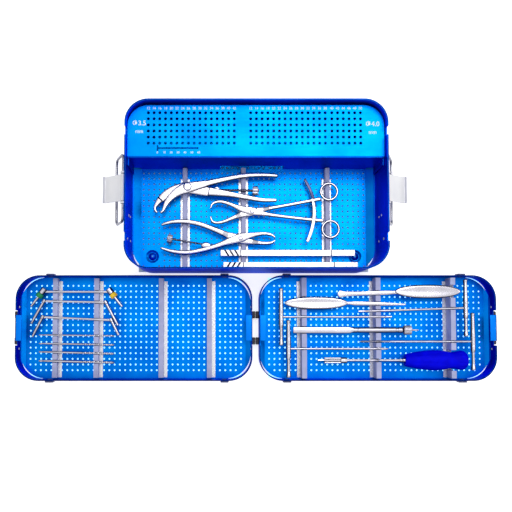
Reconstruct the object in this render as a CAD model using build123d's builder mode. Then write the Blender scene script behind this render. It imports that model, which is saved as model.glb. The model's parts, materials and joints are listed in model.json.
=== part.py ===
from build123d import *
import os
from math import cos, hypot, radians, sin

# Orthopaedic instrument set: a sheet aluminium case with a screw rack across its back, and
# two perforated lift-out trays standing in front of it, all loaded with instruments.
# Millimetres, +Z up. The origin is the middle of the set's footprint, on the table.
# +X runs along the case's length and +Y points to the back of the case.

os.makedirs("parts", exist_ok=True)

# ---------------------------------------------------------------- driving dimensions

SHEET = 1.5  # sheet of the floors, racks and trays
FIT = 0.3  # gap between a floor pan and its wall
RUN = 0.08  # running clearance on pins, per side
WALL_FLANGE = 8.0  # turned-in foot of a wall band

CASE_X, CASE_Y = -2.0, 83.5
CASE_LENGTH, CASE_WIDTH, CASE_HEIGHT = 378.0, 244.0, 100.0
CASE_CORNER = 34.0
CASE_WALL = 1.8
CASE_FLANGE_Z = 3.0
CASE_FLOOR_Z = CASE_FLANGE_Z + SHEET
CASE_FOLD = 12.0
CASE_PITCH_X, CASE_PITCH_Y = 8.14, 8.53
CASE_COLUMNS, CASE_ROWS = 43, 27
CASE_HOLE = 1.4
FOOT_DX, FOOT_DY = 157.0, 96.0
FOOT_RADIUS = 10.0
DISH_RADIUS, DISH_DEPTH = 12.0, 2.5
NOTCH_DY = 76.4
NOTCH_WIDTH, NOTCH_DEPTH = 13.0, 9.0

RACK_Z = 84.0
RACK_LENGTH, RACK_FRONT, RACK_BACK = 373.0, 125.7, 200.7
RACK_PITCH_X, RACK_PITCH_Y = 8.33, 8.95
RACK_HOLE = 2.2
RACK_ROW_Y = 189.4  # rearmost row
RACK_LEFT_X, RACK_LEFT_COLUMNS = -158.3, 16
RACK_RIGHT_X, RACK_RIGHT_COLUMNS, RACK_SPLIT, RACK_SPLIT_GAP = -9.5, 20, 14, 1.3
RACK_ROWS = 6
GAUGE_X, GAUGE_Y, GAUGE_LENGTH = -146.0, 137.4, 60.8

CASE_BRACKET_X = (-108.2, -18.0, 111.2)
CASE_STRIP_TOP = 20.0
CASE_STRIP_FRONT, CASE_STRIP_BACK, CASE_BASE_BACK = -34.5, 123.5, 108.0

PIN_OFF, PIN_Z, WIRE = 6.0, 66.0, 2.0  # bail and latch axis, from the end wall's face
BAIL_WIDTH, BAIL_DROP, BAIL_LEAN = 100.0, 46.0, 20.0
LATCH_WIDTH, LATCH_LENGTH, LATCH_DROOP, LATCH_LIP = 40.0, 38.0, 36.0, 5.0
LATCH_SHEET = 1.2

TRAY_X, TRAY_Y = 184.3, -123.1
TRAY_LENGTH, TRAY_WIDTH, TRAY_HEIGHT = 358.0, 159.5, 30.0
TRAY_CORNER = 36.0
TRAY_FOLD = 7.0
TRAY_PITCH_X, TRAY_PITCH_Y = 8.13, 8.69
TRAY_COLUMNS, TRAY_ROWS = 41, 16
TRAY_HOLE = 1.4
GRIP_LENGTH, GRIP_DEPTH = 39.0, 9.5
GRIP_NOTCH, GRIP_NOTCH_DEPTH = 7.0, 11.0
BUMPER_DY, BUMPER_WIDTH, BUMPER_OUT, BUMPER_HEIGHT = 20.0, 11.0, 4.9, 12.0
LUG_OUT, LUG_WIDTH, LUG_HEIGHT = 2.65, 12.5, 15.0
LUG_INNER_DX, LUG_OUTER_DX = 137.0, 128.0
LEFT_BRACKET_X = (-304.2, -241.0, -141.7, -67.7)
RIGHT_BRACKET_X = (71.0, 183.0, 296.2)
LEFT_STRIP_TOP, LEFT_STRIP_SHIFT = 14.0, -2.8
RIGHT_STRIP_TOP, RIGHT_STRIP_SHIFT = 29.0, 2.2
STRIP_WIDTH = 7.2


# ---------------------------------------------------------------- helpers


def save(part, name):
    """Label a finished piece and write it as its own STEP file."""
    part.label = name
    export_step(part, f"parts/{name}.step")


def normals(points):
    """Unit normals to the left of a path, one at each of its points."""
    result = []
    last = len(points) - 1
    for index in range(last + 1):
        ahead = points[min(index + 1, last)]
        behind = points[max(index - 1, 0)]
        run = hypot(ahead[0] - behind[0], ahead[1] - behind[1])
        result.append(((behind[1] - ahead[1]) / run, (ahead[0] - behind[0]) / run))
    return result


def blade_outline(points, widths):
    """Face of a smoothly tapering bar that follows a path, with rounded ends."""
    sides = []
    for sign in (1, -1):
        sides.append(
            [
                (x + sign * w / 2 * nx, y + sign * w / 2 * ny)
                for (x, y), w, (nx, ny) in zip(points, widths, normals(points))
            ]
        )
    left, right = sides
    with BuildSketch() as outline:
        with BuildLine():
            Spline(*left)
            Spline(*right)
            for end, inner in ((0, 1), (-1, -2)):
                dx = points[end][0] - points[inner][0]
                dy = points[end][1] - points[inner][1]
                reach = widths[end] / 2 / hypot(dx, dy)
                tip = (points[end][0] + dx * reach, points[end][1] + dy * reach)
                ThreePointArc(left[end], tip, right[end])
        make_face()
    return outline.sketch


def rod(start, end, radius, mode=Mode.ADD):
    """Add or cut a round bar between two points of the part being built."""
    axis = Vector(*end) - Vector(*start)
    middle = Vector(*start) + axis * 0.5
    with Locations(Plane(origin=middle, z_dir=axis).location):
        Cylinder(radius, axis.length, mode=mode)


def grid_points(centre, pitch_x, pitch_y, columns, rows):
    """Points of a rectangular hole field around its centre."""
    xs = [centre[0] + (i - (columns - 1) / 2) * pitch_x for i in range(columns)]
    ys = [centre[1] + (j - (rows - 1) / 2) * pitch_y for j in range(rows)]
    return [(x, y) for x in xs for y in ys]


# ---------------------------------------------------------------- sheet metal


def wall_band(centre, length, width, height, corner, sheet, base, cuts, tabs):
    """Closed band of sheet with a turned-in foot on its straight sides."""
    cx, cy = centre
    foot_x = length / 2 - WALL_FLANGE / 2
    foot_y = width / 2 - WALL_FLANGE / 2
    with BuildPart() as band:
        with BuildSketch(Plane.XY.offset(base)):
            with Locations(centre):
                RectangleRounded(length, width, corner)
                RectangleRounded(
                    length - 2 * sheet, width - 2 * sheet, corner - sheet, mode=Mode.SUBTRACT
                )
        extrude(amount=height)
        with BuildSketch(Plane.XY.offset(base)):
            with Locations((cx, cy - foot_y), (cx, cy + foot_y)):
                Rectangle(length - 2 * corner, WALL_FLANGE)
            with Locations((cx - foot_x, cy), (cx + foot_x, cy)):
                Rectangle(WALL_FLANGE, width - 2 * corner)
        extrude(amount=SHEET)
        for place, size in cuts:
            with Locations(place):
                Box(*size, mode=Mode.SUBTRACT)
        for place, size in tabs:
            with Locations(place):
                Box(*size)
    return band.part


def floor_pan(centre, length, width, corner, fold, base, holes, hole_radius, dishes, dish_radius):
    """Perforated floor whose two ends fold up against the end walls."""
    cx, cy = centre
    flat = length / 2 - fold
    rise = 0.6 * fold
    end = length / 2
    with BuildPart() as ramp:
        profile_plane = Plane(
            origin=(cx, cy + width / 2, base), x_dir=(1, 0, 0), z_dir=(0, -1, 0)
        )
        with BuildSketch(profile_plane):
            with BuildLine():
                Polyline(
                    (flat - 2, 0),
                    (flat, 0),
                    (end, rise),
                    (end, rise + 3),
                    (end - SHEET, rise + 3),
                    (end - SHEET, rise + SHEET / 2),
                    (flat - SHEET / 2, SHEET),
                    (flat - 2, SHEET),
                    close=True,
                )
            make_face()
        extrude(amount=width)
        with BuildSketch(Plane.XY.offset(base)):
            with Locations(centre):
                RectangleRounded(length, width, corner)
        extrude(amount=fold + 5, mode=Mode.INTERSECT)
    with BuildPart() as dish:
        with BuildSketch(Plane.XZ):
            with BuildLine():
                Polyline(
                    (2.2, -DISH_DEPTH),
                    (7.0, -DISH_DEPTH),
                    (dish_radius - 1.4, 0),
                    (dish_radius + 0.5, 0),
                    (dish_radius + 0.5, SHEET),
                    (dish_radius - 1.8, SHEET),
                    (6.6, SHEET - DISH_DEPTH),
                    (2.2, SHEET - DISH_DEPTH),
                    close=True,
                )
            make_face()
        revolve(axis=Axis.Z)
    with BuildSketch() as flat_outline:
        with Locations(centre):
            RectangleRounded(length, width, corner)
            Rectangle(2 * flat, width, mode=Mode.INTERSECT)
        if dishes:
            with Locations(*dishes):
                Circle(dish_radius, mode=Mode.SUBTRACT)
    outline = flat_outline.faces()[0]
    rings = [Wire([Edge.make_circle(hole_radius, Plane((x, y, 0)))]) for x, y in holes]
    sheet = Face(outline.outer_wire(), rings + list(outline.inner_wires()))
    pressed = [dish.part.moved(Location((x, y, base))) for x, y in dishes]
    with BuildPart() as pan:
        extrude(to_extrude=sheet.moved(Location((0, 0, base))), amount=SHEET, clean=False)
        add([ramp.part, ramp.part.mirror(Plane.YZ.offset(cx))] + pressed, clean=False)
    return pan.part


def bracket_pair(places, shift, y_range, base_back, floor_z, top, strip_width, base_width, slots):
    """Inverted-T bracket bases and the silicone strips on their webs.

    The strips fill y_range, and the flanges under them end at base_back.
    Each slot is (x of its strip, y, width, lowest z).
    """
    front, back = y_range
    middle, run = (front + back) / 2, back - front
    flange = 1.2
    web_top = top - 4.5
    seat = floor_z + flange
    with BuildPart() as bases:
        for x in places:
            with Locations((x, (front + base_back) / 2, floor_z + flange / 2)):
                Box(base_width, base_back - front, flange)
            with Locations((x + shift, middle - 2, (floor_z + web_top) / 2)):
                Box(SHEET, run - 6, web_top - floor_z)
            for strip_x, y, width, low in slots:
                if strip_x == x:
                    with Locations((x + shift, y, low - 1 + (top - low) / 2 + 2)):
                        Box(SHEET + 2, width + 2, top - low + 4, mode=Mode.SUBTRACT)
    with BuildPart() as strips:
        for x in places:
            with Locations((x + shift, middle, (seat + 0.1 + top) / 2)):
                Box(strip_width, run, top - seat - 0.1)
            with Locations((x + shift, middle, (seat + web_top) / 2)):
                Box(SHEET + 0.3, run + 1, web_top - seat + 0.3, mode=Mode.SUBTRACT)
            for strip_x, y, width, low in slots:
                if strip_x == x:
                    with Locations((x + shift, y, low + (top - low) / 2 + 1)):
                        Box(strip_width + 2, width, top - low + 2, mode=Mode.SUBTRACT)
    return bases.part, strips.part


# ---------------------------------------------------------------- case shell

notches = []
for sx in (-1, 1):
    for sy in (-1, 1):
        place = (CASE_X + sx * CASE_LENGTH / 2, CASE_Y + sy * NOTCH_DY, CASE_HEIGHT)
        notches.append((place, (4 * CASE_WALL, NOTCH_WIDTH, 2 * NOTCH_DEPTH)))
case_wall = wall_band(
    (CASE_X, CASE_Y),
    CASE_LENGTH,
    CASE_WIDTH,
    CASE_HEIGHT - CASE_FLANGE_Z,
    CASE_CORNER,
    CASE_WALL,
    CASE_FLANGE_Z,
    notches,
    [],
)
save(case_wall, "case_wall")

feet = [(CASE_X + sx * FOOT_DX, CASE_Y + sy * FOOT_DY) for sx in (-1, 1) for sy in (-1, 1)]
case_holes = [
    point
    for point in grid_points(
        (CASE_X, CASE_Y), CASE_PITCH_X, CASE_PITCH_Y, CASE_COLUMNS, CASE_ROWS
    )
    if all(hypot(point[0] - x, point[1] - y) > DISH_RADIUS + 4.5 for x, y in feet)
]
case_floor = floor_pan(
    (CASE_X, CASE_Y),
    CASE_LENGTH - 2 * CASE_WALL - 2 * FIT,
    CASE_WIDTH - 2 * CASE_WALL - 2 * FIT,
    CASE_CORNER - CASE_WALL + 4,
    CASE_FOLD,
    CASE_FLOOR_Z,
    case_holes,
    CASE_HOLE,
    feet,
    DISH_RADIUS,
)
save(case_floor, "case_floor")

foot_height = CASE_FLOOR_Z - DISH_DEPTH
with BuildPart() as case_feet:
    with BuildSketch():
        with Locations(*feet):
            Circle(FOOT_RADIUS)
            Circle(2.3, mode=Mode.SUBTRACT)
    extrude(amount=foot_height)
save(case_feet.part, "case_feet")

# ---------------------------------------------------------------- screw rack

with BuildPart() as rack_plate:
    with BuildSketch(Plane.XY.offset(RACK_Z - SHEET)):
        with Locations((CASE_X, (RACK_FRONT + RACK_BACK) / 2)):
            plate = Rectangle(RACK_LENGTH, RACK_BACK - RACK_FRONT)
        fillet(plate.vertices().group_by(Axis.Y)[-1], CASE_CORNER - 4)
        for column in range(RACK_LEFT_COLUMNS):
            for row in range(RACK_ROWS):
                spot = (RACK_LEFT_X + column * RACK_PITCH_X, RACK_ROW_Y - row * RACK_PITCH_Y)
                with Locations(spot):
                    Circle(RACK_HOLE, mode=Mode.SUBTRACT)
        for column in range(RACK_RIGHT_COLUMNS):
            extra = RACK_SPLIT_GAP if column >= RACK_SPLIT else 0
            for row in range(RACK_ROWS):
                spot = (
                    RACK_RIGHT_X + column * RACK_PITCH_X + extra,
                    RACK_ROW_Y - row * RACK_PITCH_Y,
                )
                with Locations(spot):
                    Circle(RACK_HOLE, mode=Mode.SUBTRACT)
        with Locations((GAUGE_X + GAUGE_LENGTH / 2, GAUGE_Y)):
            Rectangle(GAUGE_LENGTH, 2.4, mode=Mode.SUBTRACT)
        with Locations((GAUGE_X + 1.3, GAUGE_Y)):
            Rectangle(2.6, 8.4, mode=Mode.SUBTRACT)
    extrude(amount=SHEET)
    for side in (-1, 1):
        with Locations((CASE_X + side * (RACK_LENGTH - SHEET) / 2, 150, RACK_Z - 7)):
            Box(SHEET, 30, 14)
save(rack_plate.part, "rack_plate")

APRON_TOP = RACK_Z - SHEET
APRON_LOW = CASE_FLOOR_Z + SHEET + 0.2
APRON_CUT = ((-54.0, 44.0), 28.0)
APRON_TAB = 12.0
apron_half = RACK_LENGTH / 2
with BuildPart() as rack_apron:
    with Locations((CASE_X, RACK_FRONT - SHEET / 2, (APRON_TOP + APRON_LOW) / 2)):
        Box(RACK_LENGTH, SHEET, APRON_TOP - APRON_LOW)
    (cut_left, cut_right), cut_top = APRON_CUT
    with Locations(((cut_left + cut_right) / 2, RACK_FRONT, cut_top / 2)):
        Box(cut_right - cut_left, 4 * SHEET, cut_top, mode=Mode.SUBTRACT)
    for side in (-1, 1):
        tab = (CASE_X + side * (apron_half - SHEET / 2), RACK_FRONT - APRON_TAB / 2, 47.0)
        with Locations(tab):
            Box(SHEET, APRON_TAB, 62)
        # the lower corners clear the folded ends of the floor
        with Locations((CASE_X + side * (apron_half - 5), RACK_FRONT - SHEET / 2, 9.5)):
            Box(14, 4 * SHEET, 13, mode=Mode.SUBTRACT)
save(rack_apron.part, "rack_apron")

# ---------------------------------------------------------------- end brackets, bails, latches

face_x = CASE_X + CASE_LENGTH / 2  # outer face of the right end wall
pin_x = face_x + PIN_OFF
bracket_low, bracket_high = 34.0, 71.0
ear = 3.0

with BuildPart() as bracket_right:
    with Locations((face_x + SHEET / 2, CASE_Y, (bracket_low + bracket_high) / 2)):
        Box(SHEET, BAIL_WIDTH, bracket_high - bracket_low)
    fillet(bracket_right.edges().filter_by(Axis.X), 5)
    for side in (-1, 1):
        ear_plane = Plane(
            origin=(pin_x, CASE_Y + side * (LATCH_WIDTH / 2 + 2.5) + ear / 2, PIN_Z),
            x_dir=(1, 0, 0),
            z_dir=(0, -1, 0),
        )
        with BuildSketch(ear_plane):
            Circle(4.0)
            with Locations((-PIN_OFF / 2, 0)):
                Rectangle(PIN_OFF, 8.0)
            Circle(WIRE + RUN, mode=Mode.SUBTRACT)
        extrude(amount=ear)
mirror_plane = Plane.YZ.offset(CASE_X)
with BuildPart() as latch_brackets:
    add(bracket_right.part)
    add(bracket_right.part.mirror(mirror_plane))
save(latch_brackets.part, "latch_brackets")

lean = radians(BAIL_LEAN)
bail_plane = Plane(
    origin=(pin_x, CASE_Y, PIN_Z), x_dir=(0, 1, 0), z_dir=(-cos(lean), 0, -sin(lean))
)
half_bail = BAIL_WIDTH / 2
with BuildPart() as bail_right:
    with BuildLine(bail_plane) as loop:
        FilletPolyline(
            (half_bail, 0),
            (half_bail, BAIL_DROP),
            (-half_bail, BAIL_DROP),
            (-half_bail, 0),
            radius=9,
            close=True,
        )
    with BuildSketch(Plane(origin=loop.line @ 0, z_dir=loop.line % 0)):
        Circle(WIRE)
    sweep()
save(bail_right.part, "bail_right")
save(bail_right.part.mirror(mirror_plane), "bail_left")

droop = radians(LATCH_DROOP)
latch_plane = Plane(
    origin=(pin_x, CASE_Y - LATCH_WIDTH / 2, PIN_Z),
    x_dir=(cos(droop), 0, -sin(droop)),
    z_dir=(0, 1, 0),
)
with BuildPart() as latch_right:
    with BuildSketch(latch_plane):
        Circle(3.2)
        with Locations((LATCH_LENGTH / 2 + 0.5, 0)):
            Rectangle(LATCH_LENGTH - 1, LATCH_SHEET)
        with Locations((LATCH_LENGTH - LATCH_SHEET / 2, -LATCH_LIP / 2)):
            Rectangle(LATCH_SHEET, LATCH_LIP)
        Circle(WIRE + RUN, mode=Mode.SUBTRACT)
    extrude(amount=LATCH_WIDTH)
save(latch_right.part, "latch_right")
save(latch_right.part.mirror(mirror_plane), "latch_left")

# Rivet heads on both sides of the end walls, and the screws of the feet.
RIVET, RIVET_HEAD = 2.0, 0.6
wall_inside = CASE_LENGTH / 2 - CASE_WALL
with BuildPart() as case_fasteners:
    for side in (-1, 1):
        inward = Plane(
            origin=(CASE_X + side * wall_inside, CASE_Y, 0),
            x_dir=(0, 1, 0),
            z_dir=(-side, 0, 0),
        )
        outward = Plane(
            origin=(CASE_X + side * (CASE_LENGTH / 2 + SHEET), CASE_Y, 0),
            x_dir=(0, 1, 0),
            z_dir=(side, 0, 0),
        )
        # local y of these planes is vertical, up or down with the side
        for plane in (inward, outward):
            up = 1 if plane.y_dir.Z > 0 else -1
            with BuildSketch(plane):
                with Locations((-40, up * 57), (-40, up * 41), (40, up * 57), (40, up * 41)):
                    Circle(RIVET)
            extrude(amount=RIVET_HEAD)
    for x, y in feet:
        with BuildSketch(Plane.XY.offset(CASE_FLOOR_Z + SHEET - DISH_DEPTH)):
            with Locations((x, y)):
                Circle(4.6)
        extrude(amount=2.2, taper=25)
        with BuildSketch(Plane.XY.offset(0.6)):
            with Locations((x, y)):
                Circle(2.0)
        extrude(amount=CASE_FLOOR_Z - 0.6)
save(case_fasteners.part, "case_fasteners")

case_bases, case_strips = bracket_pair(
    CASE_BRACKET_X,
    0.0,
    (CASE_STRIP_FRONT, CASE_STRIP_BACK),
    CASE_BASE_BACK,
    CASE_FLOOR_Z + SHEET,
    CASE_STRIP_TOP,
    STRIP_WIDTH,
    13.9,
    [],
)
save(case_bases, "case_bracket_bases")
save(case_strips, "case_bracket_strips")

# ---------------------------------------------------------------- trays


def make_tray(name, side, bracket_xs, shift, strip_top, slots):
    """One lift-out tray; side is -1 for the left one and 1 for the right one."""
    cx = side * TRAY_X
    notch_y = GRIP_LENGTH / 2 + GRIP_NOTCH / 2
    end = TRAY_LENGTH / 2
    cuts = []
    tabs = []
    for sx in (-1, 1):
        for sy in (-1, 1):
            place = (cx + sx * end, TRAY_Y + sy * notch_y, TRAY_HEIGHT)
            cuts.append((place, (4 * SHEET, GRIP_NOTCH, 2 * GRIP_NOTCH_DEPTH)))
        grip = (cx + sx * (end - GRIP_DEPTH / 2), TRAY_Y, TRAY_HEIGHT - SHEET / 2)
        tabs.append((grip, (GRIP_DEPTH, GRIP_LENGTH, SHEET)))
    wall = wall_band(
        (cx, TRAY_Y),
        TRAY_LENGTH,
        TRAY_WIDTH,
        TRAY_HEIGHT,
        TRAY_CORNER,
        SHEET,
        0,
        cuts,
        tabs,
    )
    save(wall, f"{name}_wall")

    field = grid_points((cx, TRAY_Y), TRAY_PITCH_X, TRAY_PITCH_Y, TRAY_COLUMNS, TRAY_ROWS)
    corner_x = (TRAY_COLUMNS - 1) / 2 * TRAY_PITCH_X - 1
    corner_y = (TRAY_ROWS - 1) / 2 * TRAY_PITCH_Y - 1
    holes = [
        (x, y) for x, y in field if abs(x - cx) < corner_x or abs(y - TRAY_Y) < corner_y
    ]
    pan = floor_pan(
        (cx, TRAY_Y),
        TRAY_LENGTH - 2 * SHEET - 2 * FIT,
        TRAY_WIDTH - 2 * SHEET - 2 * FIT,
        TRAY_CORNER - SHEET + 4,
        TRAY_FOLD,
        SHEET,
        holes,
        TRAY_HOLE,
        [],
        DISH_RADIUS,
    )
    save(pan, f"{name}_floor")

    bases, strips = bracket_pair(
        bracket_xs,
        shift,
        (TRAY_Y - 76, TRAY_Y + 76),
        TRAY_Y + 72,
        2 * SHEET,
        strip_top,
        STRIP_WIDTH,
        12.5,
        slots,
    )
    save(bases, f"{name}_bracket_bases")
    save(strips, f"{name}_strips")

    with BuildPart() as bumpers:
        for sx in (-1, 1):
            for sy in (-1, 1):
                place = (
                    cx + sx * (end + BUMPER_OUT / 2),
                    TRAY_Y + sy * BUMPER_DY,
                    4 + BUMPER_HEIGHT / 2,
                )
                with Locations(place):
                    Box(BUMPER_OUT, BUMPER_WIDTH, BUMPER_HEIGHT)
        fillet(bumpers.edges().filter_by(Axis.X), 2)
    save(bumpers.part, f"{name}_bumpers")

    lug_xs = (cx - side * LUG_INNER_DX, cx + side * LUG_OUTER_DX)
    lug_z = TRAY_HEIGHT - 2 - LUG_HEIGHT / 2
    with BuildPart() as lugs:
        for x in lug_xs:
            for sy in (-1, 1):
                outer = TRAY_Y + sy * (TRAY_WIDTH / 2 + LUG_OUT / 2)
                with Locations((x, outer, lug_z)):
                    Box(LUG_WIDTH, LUG_OUT, LUG_HEIGHT)
        fillet(lugs.edges().filter_by(Axis.Y), 2.5)
        for x in lug_xs:
            for sy in (-1, 1):
                inside = Plane(
                    origin=(x, TRAY_Y + sy * (TRAY_WIDTH / 2 - SHEET), lug_z),
                    x_dir=(1, 0, 0),
                    z_dir=(0, -sy, 0),
                )
                with BuildSketch(inside):
                    SlotOverall(7.5, 3.6)
                extrude(amount=0.9)
    save(lugs.part, f"{name}_lugs")


# ---------------------------------------------------------------- instruments: heights

CASE_Z = CASE_STRIP_TOP + 0.2  # underside of the instruments that lie across the case's strips
GUIDE_Z, DRILL_Z = 13.4, 12.4  # axes in the left tray
SHAFT_Z = 26.4  # axes of the T-handled shafts and the depth gauge
ELEVATOR_Z = 25.5
DRIVER_Z = 19.4

# ---------------------------------------------------------------- left tray

DRILLS = (  # left end y, right end y, radius
    (-133.9, -135.3, 1.25),
    (-146.8, -149.1, 1.4),
    (-159.7, -162.6, 1.6),
    (-173.3, -176.2, 1.75),
)
DRILL_LEFT, DRILL_RIGHT = -331.0, -215.5
GUIDE_BARS = {  # bar end to bar end, then the two tube ends
    "large": ((-327.0, -67.7), (-222.0, -67.9), (-344.0, -90.0), (-204.6, -90.2)),
    "medium": ((-324.5, -82.2), (-229.5, -83.9), (-343.3, -116.0), (-210.8, -119.0)),
    "small": ((-326.4, -106.6), (-220.8, -111.2), (-341.4, -136.2), (-209.4, -134.2)),
}


def bar_y(name, x):
    """Where a guide's bar crosses a bracket strip."""
    (x0, y0), (x1, y1) = GUIDE_BARS[name][:2]
    return y0 + (y1 - y0) * (x - x0) / (x1 - x0)


left_slots = []
for x in LEFT_BRACKET_X[:2]:
    for name in GUIDE_BARS:
        left_slots.append((x, bar_y(name, x), 5.2, GUIDE_Z - 1.7))
    for y0, y1, r in DRILLS:
        y = y0 + (y1 - y0) * (x - DRILL_LEFT) / (DRILL_RIGHT - DRILL_LEFT)
        left_slots.append((x, y, 2 * r + 1.0, DRILL_Z - r - 0.3))
make_tray("left_tray", -1, LEFT_BRACKET_X, LEFT_STRIP_SHIFT, LEFT_STRIP_TOP, left_slots)

with BuildPart() as twist_drills:
    for y0, y1, r in DRILLS:
        rod((DRILL_LEFT, y0, DRILL_Z), (DRILL_RIGHT, y1, DRILL_Z), r)
save(twist_drills.part, "twist_drills")

for name, (bar_a, bar_b, tip_a, tip_b) in GUIDE_BARS.items():
    tube = 2.3
    with BuildPart() as guide:
        with BuildSketch(Plane.XY.offset(GUIDE_Z - 1.3)):
            add(blade_outline([bar_a, bar_b], [3.6, 3.6]))
        extrude(amount=2.6)
        for root, tip in ((bar_a, tip_a), (bar_b, tip_b)):
            run = hypot(tip[0] - root[0], tip[1] - root[1])
            ux, uy = (tip[0] - root[0]) / run, (tip[1] - root[1]) / run
            head = 3.0 if name != "large" else 6.0
            start = (root[0] - ux * head, root[1] - uy * head, GUIDE_Z)
            rod(start, (tip[0], tip[1], GUIDE_Z), tube)
            if name == "large":
                collar = (root[0] + ux * 3.2, root[1] + uy * 3.2, GUIDE_Z)
                rod(start, collar, 4.8)
            else:
                rod(start, (root[0] + ux * 2.5, root[1] + uy * 2.5, GUIDE_Z), 2.7)
    save(guide.part, f"drill_guide_{name}")

with BuildPart() as guide_collars:
    bar_a, bar_b, tip_a, tip_b = GUIDE_BARS["large"]
    for root, tip in ((bar_a, tip_a), (bar_b, tip_b)):
        run = hypot(tip[0] - root[0], tip[1] - root[1])
        ux, uy = (tip[0] - root[0]) / run, (tip[1] - root[1]) / run
        origin = (root[0] + ux * 3.4, root[1] + uy * 3.4, GUIDE_Z)
        with BuildSketch(Plane(origin=origin, z_dir=(ux, uy, 0))):
            Circle(5.5)
            Circle(2.35, mode=Mode.SUBTRACT)
        extrude(amount=6.8)
save(guide_collars.part, "guide_collars")

# ---------------------------------------------------------------- right tray

T_TOOLS = {  # handle x, handle middle y, shaft tip x, y, shaft radius
    "hex_driver": (38.3, -106.2, (205.8, -106.6), 1.6),
    "countersink": (49.4, -154.6, (200.6, -154.4), 1.8),
    "long_driver": (318.0, -92.9, (155.7, -98.2), 1.8),
    "bone_tap": (328.2, -143.7, (156.8, -143.8), 1.7),
}
T_HANDLE = 87.0
GAUGE_TOOL_Y = -126.3
DRIVER_Y = -172.2

right_slots = []
for name, (hx, hy, (tip_x, tip_y), r) in T_TOOLS.items():
    for x in RIGHT_BRACKET_X:
        strip_x = x + RIGHT_STRIP_SHIFT
        if min(hx, tip_x) < strip_x < max(hx, tip_x):
            y = hy + (tip_y - hy) * (strip_x - hx) / (tip_x - hx)
            right_slots.append((x, y, 2 * r + 0.8, SHAFT_Z - r - 0.3))
first, second, third = RIGHT_BRACKET_X
right_slots += [
    (third, -67.7, 19.8, ELEVATOR_Z - 5.0),
    (second, -70.2, 8.6, ELEVATOR_Z - 2.6),
    (first, -85.3, 20.8, ELEVATOR_Z - 5.0),
    (second, -86.6, 7.4, ELEVATOR_Z - 2.4),
    (first, GAUGE_TOOL_Y, 11.6, SHAFT_Z - 5.0),
    (second, GAUGE_TOOL_Y, 9.6, SHAFT_Z - 4.8),
    (second, DRIVER_Y, 5.6, DRIVER_Z - 2.6),
    (third, DRIVER_Y, 31.4, 2 * SHEET + 1.4),
]
make_tray("right_tray", 1, RIGHT_BRACKET_X, RIGHT_STRIP_SHIFT, RIGHT_STRIP_TOP, right_slots)

for name, (hx, hy, (tip_x, tip_y), r) in T_TOOLS.items():
    half = T_HANDLE / 2
    toward = 1 if tip_x > hx else -1
    with BuildPart() as handle:
        with BuildSketch(Plane(origin=(hx, hy, SHAFT_Z), x_dir=(1, 0, 0), z_dir=(0, 0, 1))):
            with BuildLine():
                Polyline((0, -half), (2.9, -half), (3.1, -half + 2), (2.3, -half + 4))
                Line((2.3, -half + 4), (2.7, -12))
                Line((2.7, -12), (3.6, -9))
                Line((3.6, -9), (3.6, 12))
                Line((3.6, 12), (2.9, 15))
                Line((2.9, 15), (2.5, half - 3))
                Polyline((2.5, half - 3), (3.2, half - 1.5), (3.0, half), (0, half))
                Line((0, half), (0, -half))
            make_face()
        revolve(axis=Axis((hx, hy, SHAFT_Z), (0, 1, 0)))
        root = (hx - toward * 2.4, hy, SHAFT_Z)
        tip = (tip_x, tip_y, SHAFT_Z)
        rod(root, tip, r + 0.01, mode=Mode.SUBTRACT)
    save(handle.part, f"{name}_handle")
    with BuildPart() as shaft:
        rod(root, tip, r)
    save(shaft.part, f"{name}_shaft")

with BuildPart() as broad_elevator:
    with BuildSketch(Plane.XY.offset(ELEVATOR_Z - 1.5)):
        add(
            blade_outline(
                [(127.5, -71.6), (137, -71.4), (165, -70.7), (200, -69.7), (216, -69.2)],
                [12.0, 9.5, 6.8, 7.2, 5.4],
            )
        )
    extrude(amount=3)
    with BuildSketch(Plane.XY.offset(ELEVATOR_Z - 4)):
        with Locations((264, -68.0)):
            Ellipse(49.5, 10.4)
    extrude(amount=6)
    with BuildSketch(Plane.XY.offset(ELEVATOR_Z)):
        with Locations((264, -68.0)):
            Ellipse(46.0, 8.2)
    extrude(amount=4)
save(broad_elevator.part, "broad_elevator")

with BuildPart() as narrow_elevator:
    with BuildSketch(Plane.XY.offset(ELEVATOR_Z - 1.5)):
        add(
            blade_outline(
                [(134, -85.4), (148, -85.7), (165, -86.1), (195, -86.8), (227, -87.6)],
                [4.6, 5.8, 6.2, 5.4, 2.4],
            )
        )
    extrude(amount=3)
    with BuildSketch(Plane.XY.offset(ELEVATOR_Z - 4)):
        with Locations((91.4, -85.3)):
            Ellipse(48.0, 9.8)
    extrude(amount=6)
    with BuildSketch(Plane.XY.offset(ELEVATOR_Z)):
        with Locations((91.4, -85.3)):
            Ellipse(45.0, 7.6)
    extrude(amount=4)
save(narrow_elevator.part, "narrow_elevator")

with BuildPart() as depth_gauge_body:
    with Locations((100.7, GAUGE_TOOL_Y, SHAFT_Z)):
        Box(88, 10.2, 8)
    fillet(depth_gauge_body.edges().filter_by(Axis.X), 1.5)
    rod((140, GAUGE_TOOL_Y, SHAFT_Z), (222.6, GAUGE_TOOL_Y, SHAFT_Z), 4.2)
    with BuildSketch(Plane(origin=(110, GAUGE_TOOL_Y, SHAFT_Z), z_dir=(1, 0, 0))):
        Circle(1.35)
    extrude(amount=120, mode=Mode.SUBTRACT)
save(depth_gauge_body.part, "depth_gauge_body")

with BuildPart() as depth_gauge_probe:
    rod((112, GAUGE_TOOL_Y, SHAFT_Z), (246, GAUGE_TOOL_Y, SHAFT_Z), 1.28)
    rod((223.2, GAUGE_TOOL_Y, SHAFT_Z), (235.4, GAUGE_TOOL_Y, SHAFT_Z), 6.9)
save(depth_gauge_probe.part, "depth_gauge_probe")

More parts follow.
